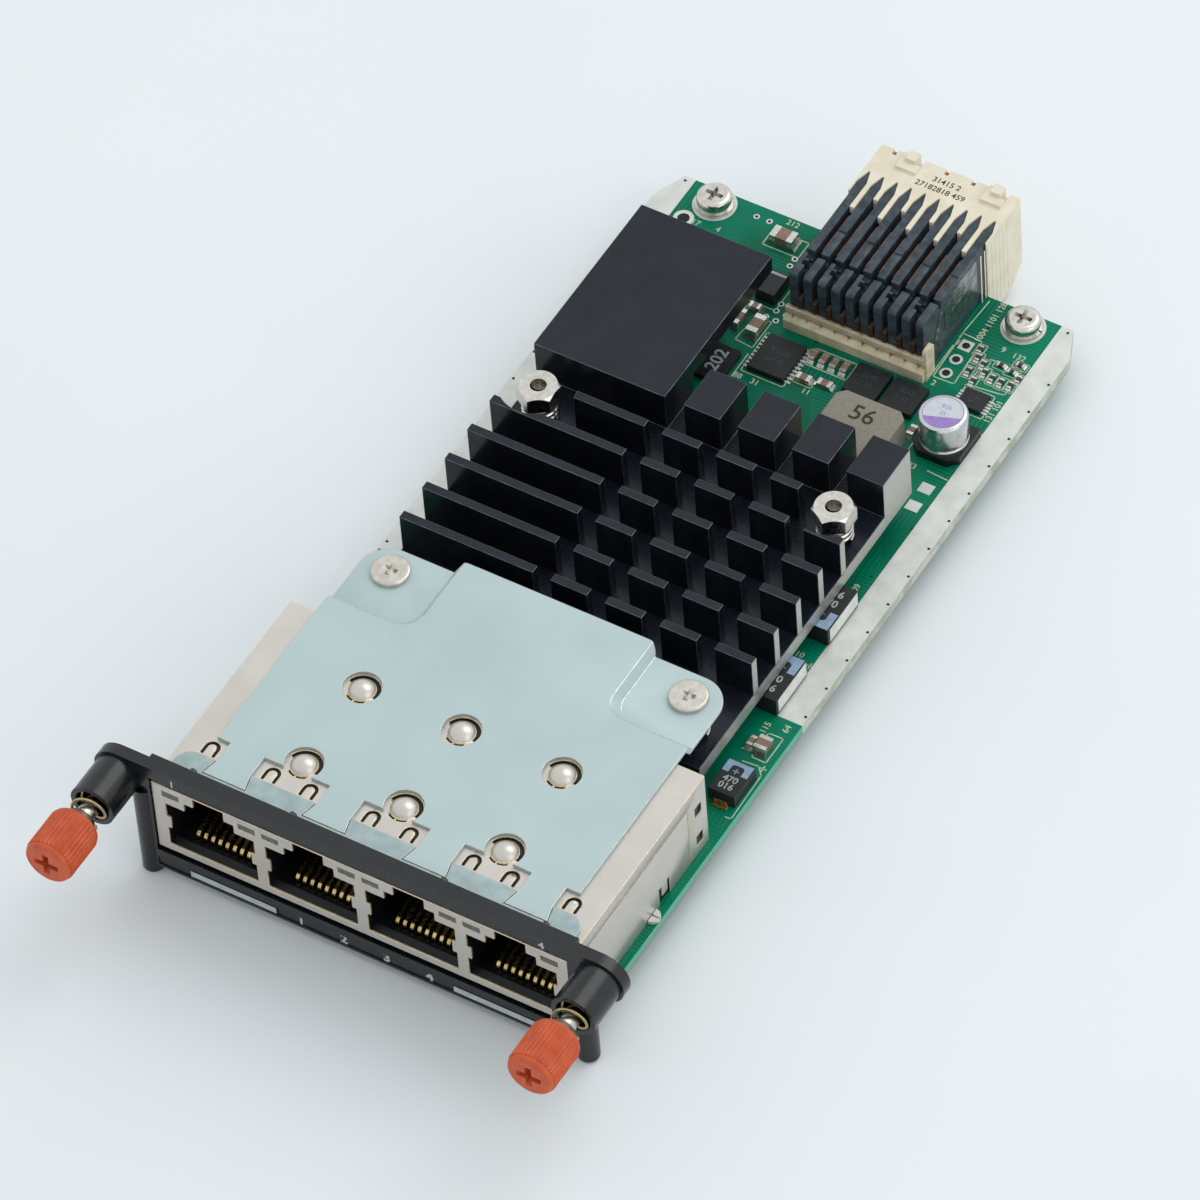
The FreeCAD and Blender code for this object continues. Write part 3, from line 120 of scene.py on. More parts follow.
soft_lamp("key_lamp", (0.3, 0.75, 1.0), size=1.1, power=4.9)
soft_lamp("side_lamp", (1.0, -0.15, 0.6), size=0.8, power=1.4)


def noise_of(nodes, links, coords, size, detail=3.0):
    """A noise texture whose features are about size mm across."""
    cloud = nodes.new("ShaderNodeTexNoise")
    cloud.inputs["Scale"].default_value = 1.0 / (size * mm)
    cloud.inputs["Detail"].default_value = detail
    links.new(coords, cloud.inputs["Vector"])
    return cloud.outputs["Fac"]


def blended(nodes, links, share, first, second):
    """A colour between two colours or colour outputs, by a share."""
    mix = nodes.new("ShaderNodeMix")
    mix.data_type = "RGBA"
    sockets = [s for s in mix.inputs if s.type == "RGBA"]
    factor = [s for s in mix.inputs if s.type == "VALUE"][0]
    links.new(share, factor)
    for value, socket in zip((first, second), sockets):
        if isinstance(value, tuple):
            socket.default_value = value
        else:
            links.new(value, socket)
    return [s for s in mix.outputs if s.type == "RGBA"][0]


def ranged(nodes, links, value, low, high, out_low, out_high):
    """A value stretched from one range to another and held at its ends."""
    stretch = nodes.new("ShaderNodeMapRange")
    stretch.inputs["From Min"].default_value = low
    stretch.inputs["From Max"].default_value = high
    stretch.inputs["To Min"].default_value = out_low
    stretch.inputs["To Max"].default_value = out_high
    links.new(value, stretch.inputs["Value"])
    return stretch.outputs["Result"]


def finish(name, light, dark, grain, rough, metal=0.0, gloss=0.5, bump=0.0, bump_grain=0.2, spread=0.06,
           stretch=None):
    """A surface whose colour, gloss and relief vary as a worked material's do."""
    material = bpy.data.materials.new(name)
    material.use_nodes = True
    nodes = material.node_tree.nodes
    links = material.node_tree.links
    shader = nodes["Principled BSDF"]
    shader.inputs["Metallic"].default_value = metal
    shader.inputs["Specular IOR Level"].default_value = gloss
    coords = nodes.new("ShaderNodeTexCoord").outputs["Object"]
    if stretch:
        scaled = nodes.new("ShaderNodeMapping")
        scaled.inputs["Scale"].default_value = stretch
        links.new(coords, scaled.inputs["Vector"])
        coords = scaled.outputs["Vector"]
    cloud = noise_of(nodes, links, coords, grain)
    share = ranged(nodes, links, cloud, 0.35, 0.65, 0.0, 1.0)
    links.new(blended(nodes, links, share, dark, light), shader.inputs["Base Color"])
    fine = noise_of(nodes, links, coords, bump_grain, 4.0)
    roughness = ranged(nodes, links, fine, 0.3, 0.7, rough - spread, rough + spread)
    links.new(roughness, shader.inputs["Roughness"])
    if bump > 0:
        relief = nodes.new("ShaderNodeBump")
        relief.inputs["Strength"].default_value = 0.6
        relief.inputs["Distance"].default_value = bump * mm
        links.new(fine, relief.inputs["Height"])
        links.new(relief.outputs["Normal"], shader.inputs["Normal"])
    return material


table_finish = finish("table_white", srgb(236, 241, 244), srgb(234, 239, 242), 60.0, 0.9, spread=0.02)
table_half = 3.0
bm = bmesh.new()
bmesh.ops.create_grid(bm, x_segments=1, y_segments=1, size=table_half)
table_mesh = bpy.data.meshes.new("table")
bm.to_mesh(table_mesh)
bm.free()
table = bpy.data.objects.new("table", table_mesh)
table_mesh.materials.append(table_finish)
bpy.context.collection.objects.link(table)


# Circuit board: glass fibre sheet under green solder mask, with bare tinned strips along
# both long edges and tinned pads under the rear screws. The mask shows the copper tracks
# below it, and white ink marks the places of the parts.
board_low, board_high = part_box("circuit_board")
strip_start = 52.2


def calc(nodes, links, operation, first, second=None):
    """One arithmetic step on outputs or numbers."""
    step = nodes.new("ShaderNodeMath")
    step.operation = operation
    for value, socket in zip((first, second), step.inputs):
        if isinstance(value, (int, float)):
            socket.default_value = value
        elif value is not None:
            links.new(value, socket)
    return step.outputs[0]


def part_axes(nodes, links):
    """The three object coordinates as separate outputs."""
    coords = nodes.new("ShaderNodeTexCoord").outputs["Object"]
    split = nodes.new("ShaderNodeSeparateXYZ")
    links.new(coords, split.inputs["Vector"])
    return coords, split.outputs


def board_finish():
    """Green mask over tracks on the faces, sawn glass fibre with a masked upper edge on the sides."""
    green = srgb(0, 122, 92)
    deep = srgb(0, 96, 70)
    track = srgb(8, 142, 108)
    hole_shade_colour = srgb(6, 52, 42)
    side_top = srgb(84, 178, 146)
    side_low = srgb(126, 150, 138)
    bare_dark = srgb(166, 172, 154)
    bare_light = srgb(196, 198, 184)
    patch_size = 6.0
    busy_from = 0.45
    track_strength = 0.5
    dot_pitch = 3.4
    dot_radius = 0.06
    face_skin = 0.02
    material = finish("board_green", green, deep, 11.0, 0.34, gloss=0.14, bump=0.004, bump_grain=0.6)
    nodes = material.node_tree.nodes
    links = material.node_tree.links
    shader = nodes["Principled BSDF"]
    ground = shader.inputs["Base Color"].links[0].from_socket
    coords, axes = part_axes(nodes, links)
    cells = nodes.new("ShaderNodeTexVoronoi")
    cells.inputs["Scale"].default_value = 1.0 / (patch_size * mm)
    links.new(coords, cells.inputs["Vector"])
    pick = nodes.new("ShaderNodeSeparateColor")
    links.new(cells.outputs["Color"], pick.inputs["Color"])
    lines = []
    for axis, pitch in ((0, 0.62), (1, 0.55)):
        turn = calc(nodes, links, "MULTIPLY", axes[axis], 2 * math.pi / (pitch * mm))
        wave = calc(nodes, links, "SINE", turn)
        lines.append(ranged(nodes, links, wave, 0.35, 0.6, 0.0, 1.0))
    across = calc(nodes, links, "GREATER_THAN", pick.outputs[0], 0.5)
    chosen = calc(nodes, links, "MULTIPLY", lines[0], across)
    other = calc(nodes, links, "MULTIPLY", lines[1], calc(nodes, links, "SUBTRACT", 1.0, across))
    pattern = calc(nodes, links, "ADD", chosen, other)
    busy = calc(nodes, links, "GREATER_THAN", pick.outputs[1], busy_from)
    drawn = calc(nodes, links, "MULTIPLY", pattern, busy)
    share = calc(nodes, links, "MULTIPLY", drawn, track_strength)
    masked = blended(nodes, links, share, ground, track)
    # Dark dots on the mask at the vias are painted shade, standing for the shadow inside the holes.
    dots = nodes.new("ShaderNodeTexVoronoi")
    dots.inputs["Scale"].default_value = 1.0 / (dot_pitch * mm)
    links.new(coords, dots.inputs["Vector"])
    hole_shade_mask = calc(nodes, links, "LESS_THAN", dots.outputs["Distance"], dot_radius)
    masked = blended(nodes, links, hole_shade_mask, masked, hole_shade_colour)
    ragged = noise_of(nodes, links, coords, 2.2, 5.0)
    height = ranged(nodes, links, axes[2], board_low.z, board_high.z, 0.0, 1.0)
    upper = calc(nodes, links, "GREATER_THAN", calc(nodes, links, "ADD", height, ragged), 1.02)
    sawn = blended(nodes, links, upper, side_low, side_top)
    beside_strip = calc(nodes, links, "GREATER_THAN", axes[1], place(0, strip_start, 0).y)
    line = ranged(nodes, links, ragged, 0.4, 0.6, 0.0, 1.0)
    bare = blended(nodes, links, line, bare_dark, bare_light)
    sawn = blended(nodes, links, beside_strip, sawn, bare)
    below = calc(nodes, links, "LESS_THAN", axes[2], board_high.z - face_skin * mm)
    above = calc(nodes, links, "GREATER_THAN", axes[2], board_low.z + face_skin * mm)
    side = calc(nodes, links, "MULTIPLY", below, above)
    links.new(blended(nodes, links, side, masked, sawn), shader.inputs["Base Color"])
    return material


def dress(node, material):
    """Gives a node of the frame its finish."""
    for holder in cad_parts[node].material_slots:
        holder.material = material


def add_box(bm, low, high):
    """A box between two corners, added to a mesh."""
    middle = (Vector(low) + Vector(high)) / 2
    size = Vector(high) - Vector(low)
    shape = Matrix.Translation(middle) @ Matrix.Diagonal((*size, 1))
    return bmesh.ops.create_cube(bm, size=1.0, matrix=shape)["verts"]


def add_disc(bm, radius, x, y, low, high, segments):
    """An upright disc at a place, between two heights in mm."""
    foot = place(x, y, low)
    head = place(x, y, high)
    aim = (head - foot).to_track_quat("Z", "Y").to_matrix().to_4x4()
    shape = Matrix.Translation((foot + head) / 2) @ aim
    bmesh.ops.create_cone(bm, cap_ends=True, segments=segments, radius1=radius * mm, radius2=radius * mm,
                          depth=(head - foot).length, matrix=shape)


def add_plate(bm, points, thickness):
    """A flat plate: an outline drawn up by a vector."""
    face = bm.faces.new([bm.verts.new(point) for point in points])
    raised = bmesh.ops.extrude_face_region(bm, geom=[face])["geom"]
    corners = [item for item in raised if isinstance(item, bmesh.types.BMVert)]
    bmesh.ops.translate(bm, vec=thickness, verts=corners)


def piece(name, bm, materials, body="root", hides=(), ease=0.0, cut_or_highlight_edge=0):
    """A finished mesh as a piece that rides on a body of the frame, its edges eased if asked, and the eased
    edges given a material of their own if asked: bare cut metal on some pieces, a painted highlight on
    others.
    """
    sharp_angle = math.radians(32)
    eased_angle = math.radians(35)
    mesh = bpy.data.meshes.new(name)
    bmesh.ops.recalc_face_normals(bm, faces=bm.faces)
    bm.to_mesh(mesh)
    bm.free()
    for material in materials:
        mesh.materials.append(material)
    mesh.polygons.foreach_set("use_smooth", [True] * len(mesh.polygons))
    mesh.set_sharp_from_angle(angle=sharp_angle)
    made = bpy.data.objects.new(name, mesh)
    bpy.context.collection.objects.link(made)
    if ease > 0:
        rounding = made.modifiers.new("eased_edges", "BEVEL")
        rounding.width = ease * mm
        rounding.segments = 2
        rounding.limit_method = "ANGLE"
        rounding.angle_limit = eased_angle
        rounding.use_clamp_overlap = False
        rounding.harden_normals = True
        if cut_or_highlight_edge:
            rounding.material = cut_or_highlight_edge
    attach(made, body)
    if hides:
        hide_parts(*hides)
    return made


def add_line(bm, points, width):
    """A printed line of a width in mm through a row of points on the board."""
    rise = 0.015
    for (x0, y0), (x1, y1) in zip(points, points[1:]):
        run = Vector((x1 - x0, y1 - y0, 0))
        turn = Matrix.Rotation(math.atan2(run.y, run.x), 4, "Z")
        size = Matrix.Diagonal(((run.length + width) * mm, width * mm, rise * mm, 1))
        middle = place((x0 + x1) / 2, (y0 + y1) / 2, rise / 2)
        bmesh.ops.create_cube(bm, size=1.0, matrix=Matrix.Translation(middle) @ turn @ size)


def add_frame(bm, x0, y0, x1, y1, width):
    """A printed rectangle."""
    add_line(bm, [(x0, y0), (x1, y0), (x1, y1), (x0, y1), (x0, y0)], width)


def add_figures(bm, figures, height, facing, weight=0.0):
    """Plain figures of a height in mm, added to a mesh flat at a placed matrix."""
    plain_height = 0.7
    curve = bpy.data.curves.new("figures", "FONT")
    curve.body = figures
    curve.align_x = "CENTER"
    curve.align_y = "CENTER"
    curve.resolution_u = 3
    curve.extrude = 0.006
    curve.offset = weight
    holder = bpy.data.objects.new("figures", curve)
    bpy.context.collection.objects.link(holder)
    bpy.context.view_layer.update()
    seen_from = bpy.context.evaluated_depsgraph_get()
    flat = bpy.data.meshes.new_from_object(holder.evaluated_get(seen_from))
    start = len(bm.verts)
    bm.from_mesh(flat)
    bm.verts.ensure_lookup_table()
    scale = height * mm / plain_height
    fitted = facing @ Matrix.Diagonal((scale, scale, scale, 1))
    bmesh.ops.transform(bm, matrix=fitted, verts=bm.verts[start:])
    bpy.data.objects.remove(holder)
    bpy.data.curves.remove(curve)
    bpy.data.meshes.remove(flat)


def flat_at(x, y, z, turn=0.0):
    """A matrix that lays something flat at a place, turned about the upright axis in degrees."""
    return Matrix.Translation(place(x, y, z)) @ Matrix.Rotation(math.radians(turn), 4, "Z")


def merged_copy(node, whole):
    """A node's mesh with its corners joined, and its flat faces made whole if asked."""
    bm = bmesh.new()
    bm.from_mesh(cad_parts[node].data)
    bmesh.ops.remove_doubles(bm, verts=bm.verts, dist=1e-7)
    if whole:
        bmesh.ops.dissolve_limit(bm, angle_limit=math.radians(0.6), verts=bm.verts, edges=bm.edges)
    for face in bm.faces:
        face.material_index = 0
    return bm


def loose_boxes(node):
    """Low and high corners of each loose solid of a node, in mm from the drawing's origin."""
    origin = place(0, 0, 0)
    bm = merged_copy(node, False)
    waiting = set(bm.verts)
    boxes = []
    while waiting:
        reached = {waiting.pop()}
        open_ends = list(reached)
        while open_ends:
            vert = open_ends.pop()
            for link in vert.link_edges:
                other = link.other_vert(vert)
                if other not in reached:
                    reached.add(other)
                    open_ends.append(other)
        waiting -= reached
        low = [(min(v.co[i] for v in reached) - origin[i]) / mm for i in range(3)]
        high = [(max(v.co[i] for v in reached) - origin[i]) / mm for i in range(3)]
        boxes.append((low, high))
    bm.free()
    return sorted(boxes, key=lambda corners: (round(corners[0][0], 2), round(corners[0][1], 2)))


dress("circuit_board", board_finish())
tin_finish = finish("tinned_copper", srgb(216, 218, 212), srgb(202, 205, 200), 2.5, 0.42, 0.3,
                    bump=0.004, bump_grain=0.35)
# Dark discs at the vias and plated holes are painted shade, standing for the shadow inside them.
via_shade_finish = finish("via_shadow", srgb(40, 46, 44), srgb(22, 28, 26), 0.5, 0.6, gloss=0.2)
ink_finish = finish("white_ink", srgb(206, 214, 188), srgb(180, 192, 162), 0.8, 0.6, gloss=0.2)

strip_inner = 26.4
strip_rise = 0.02
board_half = 30.0
board_end = (board_high.y - front_plane) / mm
corner_x = 2.0
corner_y = 4.6
strip_corners = [(strip_inner, strip_start), (board_half, strip_start), (board_half, board_end - corner_y),
                 (board_half - corner_x, board_end), (strip_inner, board_end)]
bm = bmesh.new()
for side in (-1, 1):
    add_plate(bm, [place(side * x, y, 0) for x, y in strip_corners], (0, 0, strip_rise * mm))
piece("edge_strips", bm, [tin_finish])

via_x = 29.65
first_via = 53.6
via_pitch = 5.03
via_count = 13
corner_via = (27.6, 122.6)
via_radius = 0.2
shade_low = strip_rise * 0.5
shade_high = strip_rise * 1.5
via_high = strip_rise * 1.6
bm = bmesh.new()
for x, y in [(via_x, first_via + via_pitch * i) for i in range(via_count)] + [corner_via]:
    for side in (-1, 1):
        add_disc(bm, via_radius, side * x, y, shade_low, via_high, 10)
piece("strip_vias", bm, [via_shade_finish])

# The tinned lands: one under each rear screw, a row of three with a square last one, a round
# one at the rear left, and small rings round plated holes.
pad_radius = 2.88
pad_via_circle = 2.35
pad_via_radius = 0.14
head_radius = 2.3
screw_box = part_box("board_screws")
screw_x = (screw_box[1].x - head_radius * mm) / mm
screw_y = ((screw_box[0].y + screw_box[1].y) / 2 - front_plane) / mm
row_x = 17.45
first_row = 109.77
row_pitch = 2.54
row_places = [first_row + row_pitch * i for i in range(3)]
row_land = 0.85
row_hole = 0.52
round_x = -24.56
round_y = 116.97
round_land = 1.35
round_hole = 0.8
ring_land = 0.42
ring_hole = 0.22
ring_places = [(-16.51, 121.49), (-14.65, 121.53), (-8.62, 116.18), (-8.64, 117.46), (-6.36, 110.11),
               (-6.34, 108.84), (-4.89, 108.79), (-5.58, 107.38), (-7.03, 107.43), (-17.9, 112.3),
               (-13.2, 108.2), (-3.4, 94.6), (19.4, 94.9), (24.2, 101.9)]
bm = bmesh.new()
for side in (-1, 1):
    add_disc(bm, pad_radius, side * screw_x, screw_y, 0, strip_rise, 48)
for y in row_places[:2]:
    add_disc(bm, row_land, row_x, y, 0, strip_rise, 28)
square_y = row_places[2]
add_box(bm, place(row_x - row_land, square_y - row_land, 0),
        place(row_x + row_land, square_y + row_land, strip_rise))
add_disc(bm, round_land, round_x, round_y, 0, strip_rise, 32)
for x, y in ring_places:
    add_disc(bm, ring_land, x, y, 0, strip_rise, 16)
piece("board_pads", bm, [tin_finish])
# The dark discs in the holes and in the pads' vias are painted shade.
bm = bmesh.new()
for y in row_places:
    add_disc(bm, row_hole, row_x, y, shade_low, shade_high, 20)
add_disc(bm, round_hole, round_x, round_y, shade_low, shade_high, 24)
for x, y in ring_places:
    add_disc(bm, ring_hole, x, y, shade_low, shade_high, 10)
for side in (-1, 1):
    for i in range(8):
        angle = math.radians(45 * i + 20)
        x = side * screw_x + pad_via_circle * math.cos(angle)
        y = screw_y + pad_via_circle * math.sin(angle)
        add_disc(bm, pad_via_radius, x, y, shade_low, via_high, 8)
piece("board_holes", bm, [via_shade_finish])

# White ink: each row is a run of corners, and a closed one goes round a part.
ink_width = 0.15
plus_half = 0.4
label_height = 0.85
label_foot = 0.01
label_weight = 0.01
ink_rows = [
    [(16.4, 122.67), (15.98, 115.6), (16.35, 115.2), (16.35, 114.6), (15.98, 114.2), (15.95, 107.4)],
    [(16.08, 116.51), (18.88, 116.39), (19.19, 108.63), (16.29, 108.53), (16.08, 116.51)],
    [(-5.35, 98.24), (0.72, 98.22), (0.73, 105.1), (-5.55, 105.2), (-5.35, 98.24)],
    [(-5.85, 96.86), (-5.85, 100.97)],
    [(1.32, 105.8), (0.44, 105.08), (1.0, 102.88), (7.1, 102.88), (7.1, 105.8), (1.32, 105.8)],
    [(1.15, 100.91), (1.06, 99.69), (3.87, 99.63), (3.78, 101.0), (1.15, 100.91)],
    [(-8.57, 102.4), (-5.91, 102.11), (-5.89, 106.9), (-8.1, 107.0), (-8.57, 102.4)],
    [(-13.58, 117.8), (-8.35, 117.8), (-8.35, 120.6), (-13.58, 120.6), (-13.58, 117.8)],
    [(20.45, 109.3), (25.67, 109.91), (25.51, 114.7), (21.16, 114.28), (20.45, 109.3)],
    [(20.72, 109.01), (24.79, 109.15), (25.07, 105.15), (20.4, 105.1), (20.72, 109.01)],
    [(23.33, 94.7), (26.16, 94.5)],
    [(26.39, 44.12), (28.52, 44.31), (29.5, 43.14), (29.64, 35.68), (28.91, 35.67)],
    [(25.64, 52.66), (26.33, 52.76), (26.28, 59.89), (25.9, 60.1)],
    [(25.95, 64.92), (26.38, 64.95), (26.24, 72.23), (25.6, 72.4)],
    [(26.95, 45.2), (29.0, 45.15), (29.0, 49.38), (26.95, 49.33), (26.95, 45.2)],
    [(25.3, 45.87), (26.55, 45.86), (26.55, 47.9), (25.3, 47.83)],
    [(-10.3, 108.8), (-6.5, 108.8), (-6.5, 114.1), (-10.3, 114.1), (-10.3, 108.8)],
    [(19.5, 96.1), (19.5, 102.9), (26.5, 102.9), (26.5, 96.1)],
]
plus_places = [(29.15, 44.2), (26.11, 60.76)]
label_rows = [
    ("17", -22.8, 117.0, 0), ("4", -19.7, 117.3, 0), ("212", -11.8, 122.5, 0), ("88", -5.25, 97.3, 0),
    ("31", -2.8, 97.3, 0), ("9", 21.9, 116.4, 0), ("132", 24.2, 116.2, 0), ("2", 16.9, 107.6, 0),
    ("83", 21.2, 94.5, 0), ("110", 23.8, 61.8, 0), ("115", 26.2, 49.9, 90), ("64", 28.6, 50.9, 90),
    ("1004 1101 128", 18.3, 119.7, 90), ("131 101", 25.8, 106.9, 90), ("109", 24.94, 73.9, 90),
    ("11", 3.6, 98.9, 0), ("57", -9.9, 107.4, 0), ("6 5", -1.5, 107.2, 0),
]
ink = bmesh.new()
for row in ink_rows:
    add_line(ink, row, ink_width)
for x, y in plus_places:
    add_line(ink, [(x - plus_half, y), (x + plus_half, y)], ink_width)
    add_line(ink, [(x, y - plus_half), (x, y + plus_half)], ink_width)
for figures, x, y, turn in label_rows:
    add_figures(ink, figures, label_height, flat_at(x, y, label_foot, turn), label_weight)

# Solder lands and tinned ends of the small parts on the board. Each chip capacitor or resistor
# has a band of tin and a fillet of solder at both ends. Those near the board's rear right
# corner also stand in a frame of ink.
solder_finish = finish("solder", srgb(214, 214, 208), srgb(190, 190, 184), 0.4, 0.25, 0.9, bump=0.01,
                       bump_grain=0.25)
capacitor_band = 0.26
capacitor_land = 0.42
resistor_band = 0.24
resistor_land = 0.28
skin = 0.02
fillet_side = 0.08
fillet_share = 0.55
fillet_foot = 0.03
frame_margin = 0.3
frame_reach = 0.2
frame_width = 0.1
framed_from_x = 18
framed_from_y = 107.5
touch = 1e-6
small_parts = [(corners, capacitor_band, capacitor_land) for corners in loose_boxes("ceramic_capacitors")]
small_parts += [(corners, resistor_band, resistor_land) for corners in loose_boxes("resistors")]


def add_end(bm, low, high, along, reach, margin, top):
    """A box over one end of a part, between two places along it."""
    corner_low = [low[0] - margin, low[1] - margin, 0.0]
    corner_high = [high[0] + margin, high[1] + margin, top]
    corner_low[along], corner_high[along] = sorted(reach)
    return add_box(bm, place(*corner_low), place(*corner_high))


ends = bmesh.new()
for (low, high), band_share, land in small_parts:
    along = 0 if high[0] - low[0] > high[1] - low[1] else 1
    for sign in (-1, 1):
        edge = high[along] if sign > 0 else low[along]
        band = (high[along] - low[along]) * band_share
        add_end(ends, low, high, along, (edge - sign * band, edge + sign * skin), skin, high[2] + skin)
        fillet = add_end(ends, low, high, along, (edge + sign * skin, edge + sign * land), fillet_side,
                         high[2] * fillet_share)
        tip = max(sign * vert.co[along] for vert in fillet)
        for vert in fillet:
            if sign * vert.co[along] > tip - touch and vert.co.z > board_top + touch:
                vert.co.z = board_top + fillet_foot * mm
    grow = [land + frame_reach if axis == along else frame_margin for axis in (0, 1)]
    if low[1] > framed_from_y and high[0] > framed_from_x:
        add_frame(ink, low[0] - grow[0], low[1] - grow[1], high[0] + grow[0], high[1] + grow[1], frame_width)
piece("tinned_ends", ends, [solder_finish], ease=0.03)
piece("board_ink", ink, [ink_finish])

# Front plate: one black moulding with a fine texture. The card's ports look out of its window,
# its ears carry the thumbscrews and its round legs carry the card. Grey print on it gives
# the ports' numbers between two bars, and the first and last number again higher up.
plate_finish = finish("plate_black", srgb(18, 21, 25), srgb(11, 13, 16), 1.2, 0.26, gloss=0.5, bump=0.012,
                      bump_grain=0.14, spread=0.1)
print_finish = finish("grey_print", srgb(186, 196, 200), srgb(168, 178, 182), 1.0, 0.6, gloss=0.2)
dress("faceplate", plate_finish)


def upright_at(x, y, z):
    """A matrix that stands something upright at a place, facing the front."""
    return Matrix.Translation(place(x, y, z)) @ Matrix.Rotation(math.pi / 2, 4, "X")


plate_face = -0.3
band_face = -0.15
band_middle = -2.7
upper_z = 13.45
band_height = 1.4
upper_height = 1.1
bar_inner = 12.42
bar_outer = 24.48
bar_half = 0.48
print_lift = 0.006
bar_sink = 0.01
bold = 0.035
bm = bmesh.new()
for number, x in (("1", -9.0), ("2", -3.0), ("3", 3.0), ("4", 9.0)):
    add_figures(bm, number, band_height, upright_at(x, band_face - print_lift, band_middle), bold)
for number, x in (("1", -25.6), ("4", 25.6)):
    add_figures(bm, number, upper_height, upright_at(x, plate_face - print_lift, upper_z), bold)
for side in (-1, 1):
    x0, x1 = sorted((side * bar_inner, side * bar_outer))
    add_box(bm, place(x0, plate_face - print_lift, band_middle - bar_half),
            place(x1, plate_face + bar_sink, band_middle + bar_half))
piece("plate_print", bm, [print_finish])

# Bracket and cover: zinc plated sheet, punched and folded, hooked together by dovetail tabs.
# The plating is a pale blue grey with a soft shine and faint cloudy streaks.
zinc_finish = finish("zinc_plate", srgb(184, 201, 202), srgb(179, 196, 197), 9.0, 0.5, 0.3, gloss=0.3,
                     bump=0.003, bump_grain=0.35, spread=0.03)
# The eased edges and folds of both sheets take a brighter, glossier zinc: a painted highlight.
highlit_zinc_edge = finish("zinc_edge_painted_highlight", srgb(205, 208, 202), srgb(180, 178, 166), 0.8, 0.3, 0.8)
flange_finish = finish("flange_plate", srgb(170, 187, 188), srgb(156, 172, 172), 1.6, 0.5, 0.3, gloss=0.3,
                       bump=0.004, bump_grain=0.3)


def eased_copy(node, name, materials, ease, cut_or_highlight_edge=0):
    """The node's own form with its sharp edges slightly rounded."""
    return piece(name, merged_copy(node, True), materials, hides=(node,), ease=ease, cut_or_highlight_edge=cut_or_highlight_edge)


eased_copy("cover_plate", "cover_sheet", [zinc_finish, highlit_zinc_edge], ease=0.07, cut_or_highlight_edge=1)
eased_copy("front_bracket", "bracket_sheet", [flange_finish, highlit_zinc_edge], ease=0.05, cut_or_highlight_edge=1)

# Jack block: a nickel plated shield folded from thin sheet round a black moulding with
# four cavities. The sheet's cut edges round the ports shine pale gold. Eight gilded spring
# wires rise in each cavity.
nickel_finish = finish("nickel_plate", srgb(208, 202, 195), srgb(200, 195, 187), 6.0, 0.34, 0.7,
                       bump=0.002, bump_grain=0.5, spread=0.05)
black_finish = finish("black_moulding", srgb(20, 23, 26), srgb(12, 14, 16), 1.0, 0.38, gloss=0.35,
                      bump=0.004, bump_grain=0.2)
gold_finish = finish("gilded_wire", srgb(214, 188, 134), srgb(184, 156, 102), 0.6, 0.25, 1.0)
guide_finish = finish("light_guide", srgb(96, 104, 106), srgb(74, 82, 84), 0.6, 0.25)
cut_finish = finish("cut_edge", srgb(240, 220, 178), srgb(214, 190, 146), 0.8, 0.25, 0.4)
front_skin = 0.4
bm = merged_copy("jack_shield", False)
for face in bm.faces:
    if abs(face.normal.y) < 0.5 and face.calc_center_median().y < front_plane + front_skin * mm:
        face.material_index = 1
piece("shield_sheet", bm, [nickel_finish, cut_finish], hides=("jack_shield",), ease=0.08,
      cut_or_highlight_edge=1)
dress("jack_housing", black_finish)
dress("jack_contacts", gold_finish)
dress("indicator_lights", guide_finish)
dress("shield_pegs", tin_finish)

# Screws, standoffs, nuts and springs: turned and formed steel with bright nickel plating.
# The rear standoffs are tapped, and their threads show in the open holes.
steel_finish = finish("bright_steel", srgb(214, 211, 204), srgb(196, 192, 184), 0.8, 0.22, 1.0,
                      bump=0.002, bump_grain=0.15)
warm_finish = finish("passivated_steel", srgb(206, 203, 196), srgb(190, 184, 172), 0.9, 0.36, 0.9,
                     bump=0.003, bump_grain=0.2)
for node in ("bracket_screws", "bracket_inserts", "sink_springs", "sink_nuts", "sink_standoffs",
             "board_screws", "spring_washers", "rear_spacers"):
    dress(node, steel_finish)
dress("cover_screws", warm_finish)

head_half = 2.45
standoff_x = 20.9
standoff_y = (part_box("sink_standoffs")[1].y - front_plane) / mm - head_half
thread_foot = 8.75
thread_root = 1.03
thread_crest = 0.95
thread_back = 1.045
thread_pitch = 0.4
thread_turns = 5
thread_steps = 24


def add_thread(bm, foot):
    """A run of ring ridges round an upright axis, spun from a zigzag."""
    axis = Vector((0, 0, 1))
    side = axis.orthogonal().normalized()
    length = thread_turns * thread_pitch
    points = []
    for i in range(thread_turns):
        points.append((i * thread_pitch, thread_root))
        points.append(((i + 0.5) * thread_pitch, thread_crest))
    points += [(length, thread_root), (length, thread_back), (0, thread_back)]
    verts = [bm.verts.new(foot + axis * (a * mm) + side * (r * mm)) for a, r in points]
    edges = [bm.edges.new((verts[i], verts[(i + 1) % len(verts)])) for i in range(len(verts))]
    bmesh.ops.spin(bm, geom=verts + edges, cent=foot, axis=axis, angle=2 * math.pi, steps=thread_steps,
                   use_merge=True, use_duplicate=False)


bm = bmesh.new()
for side in (-1, 1):
    add_thread(bm, place(side * standoff_x, standoff_y, thread_foot))
piece("standoff_threads", bm, [steel_finish])

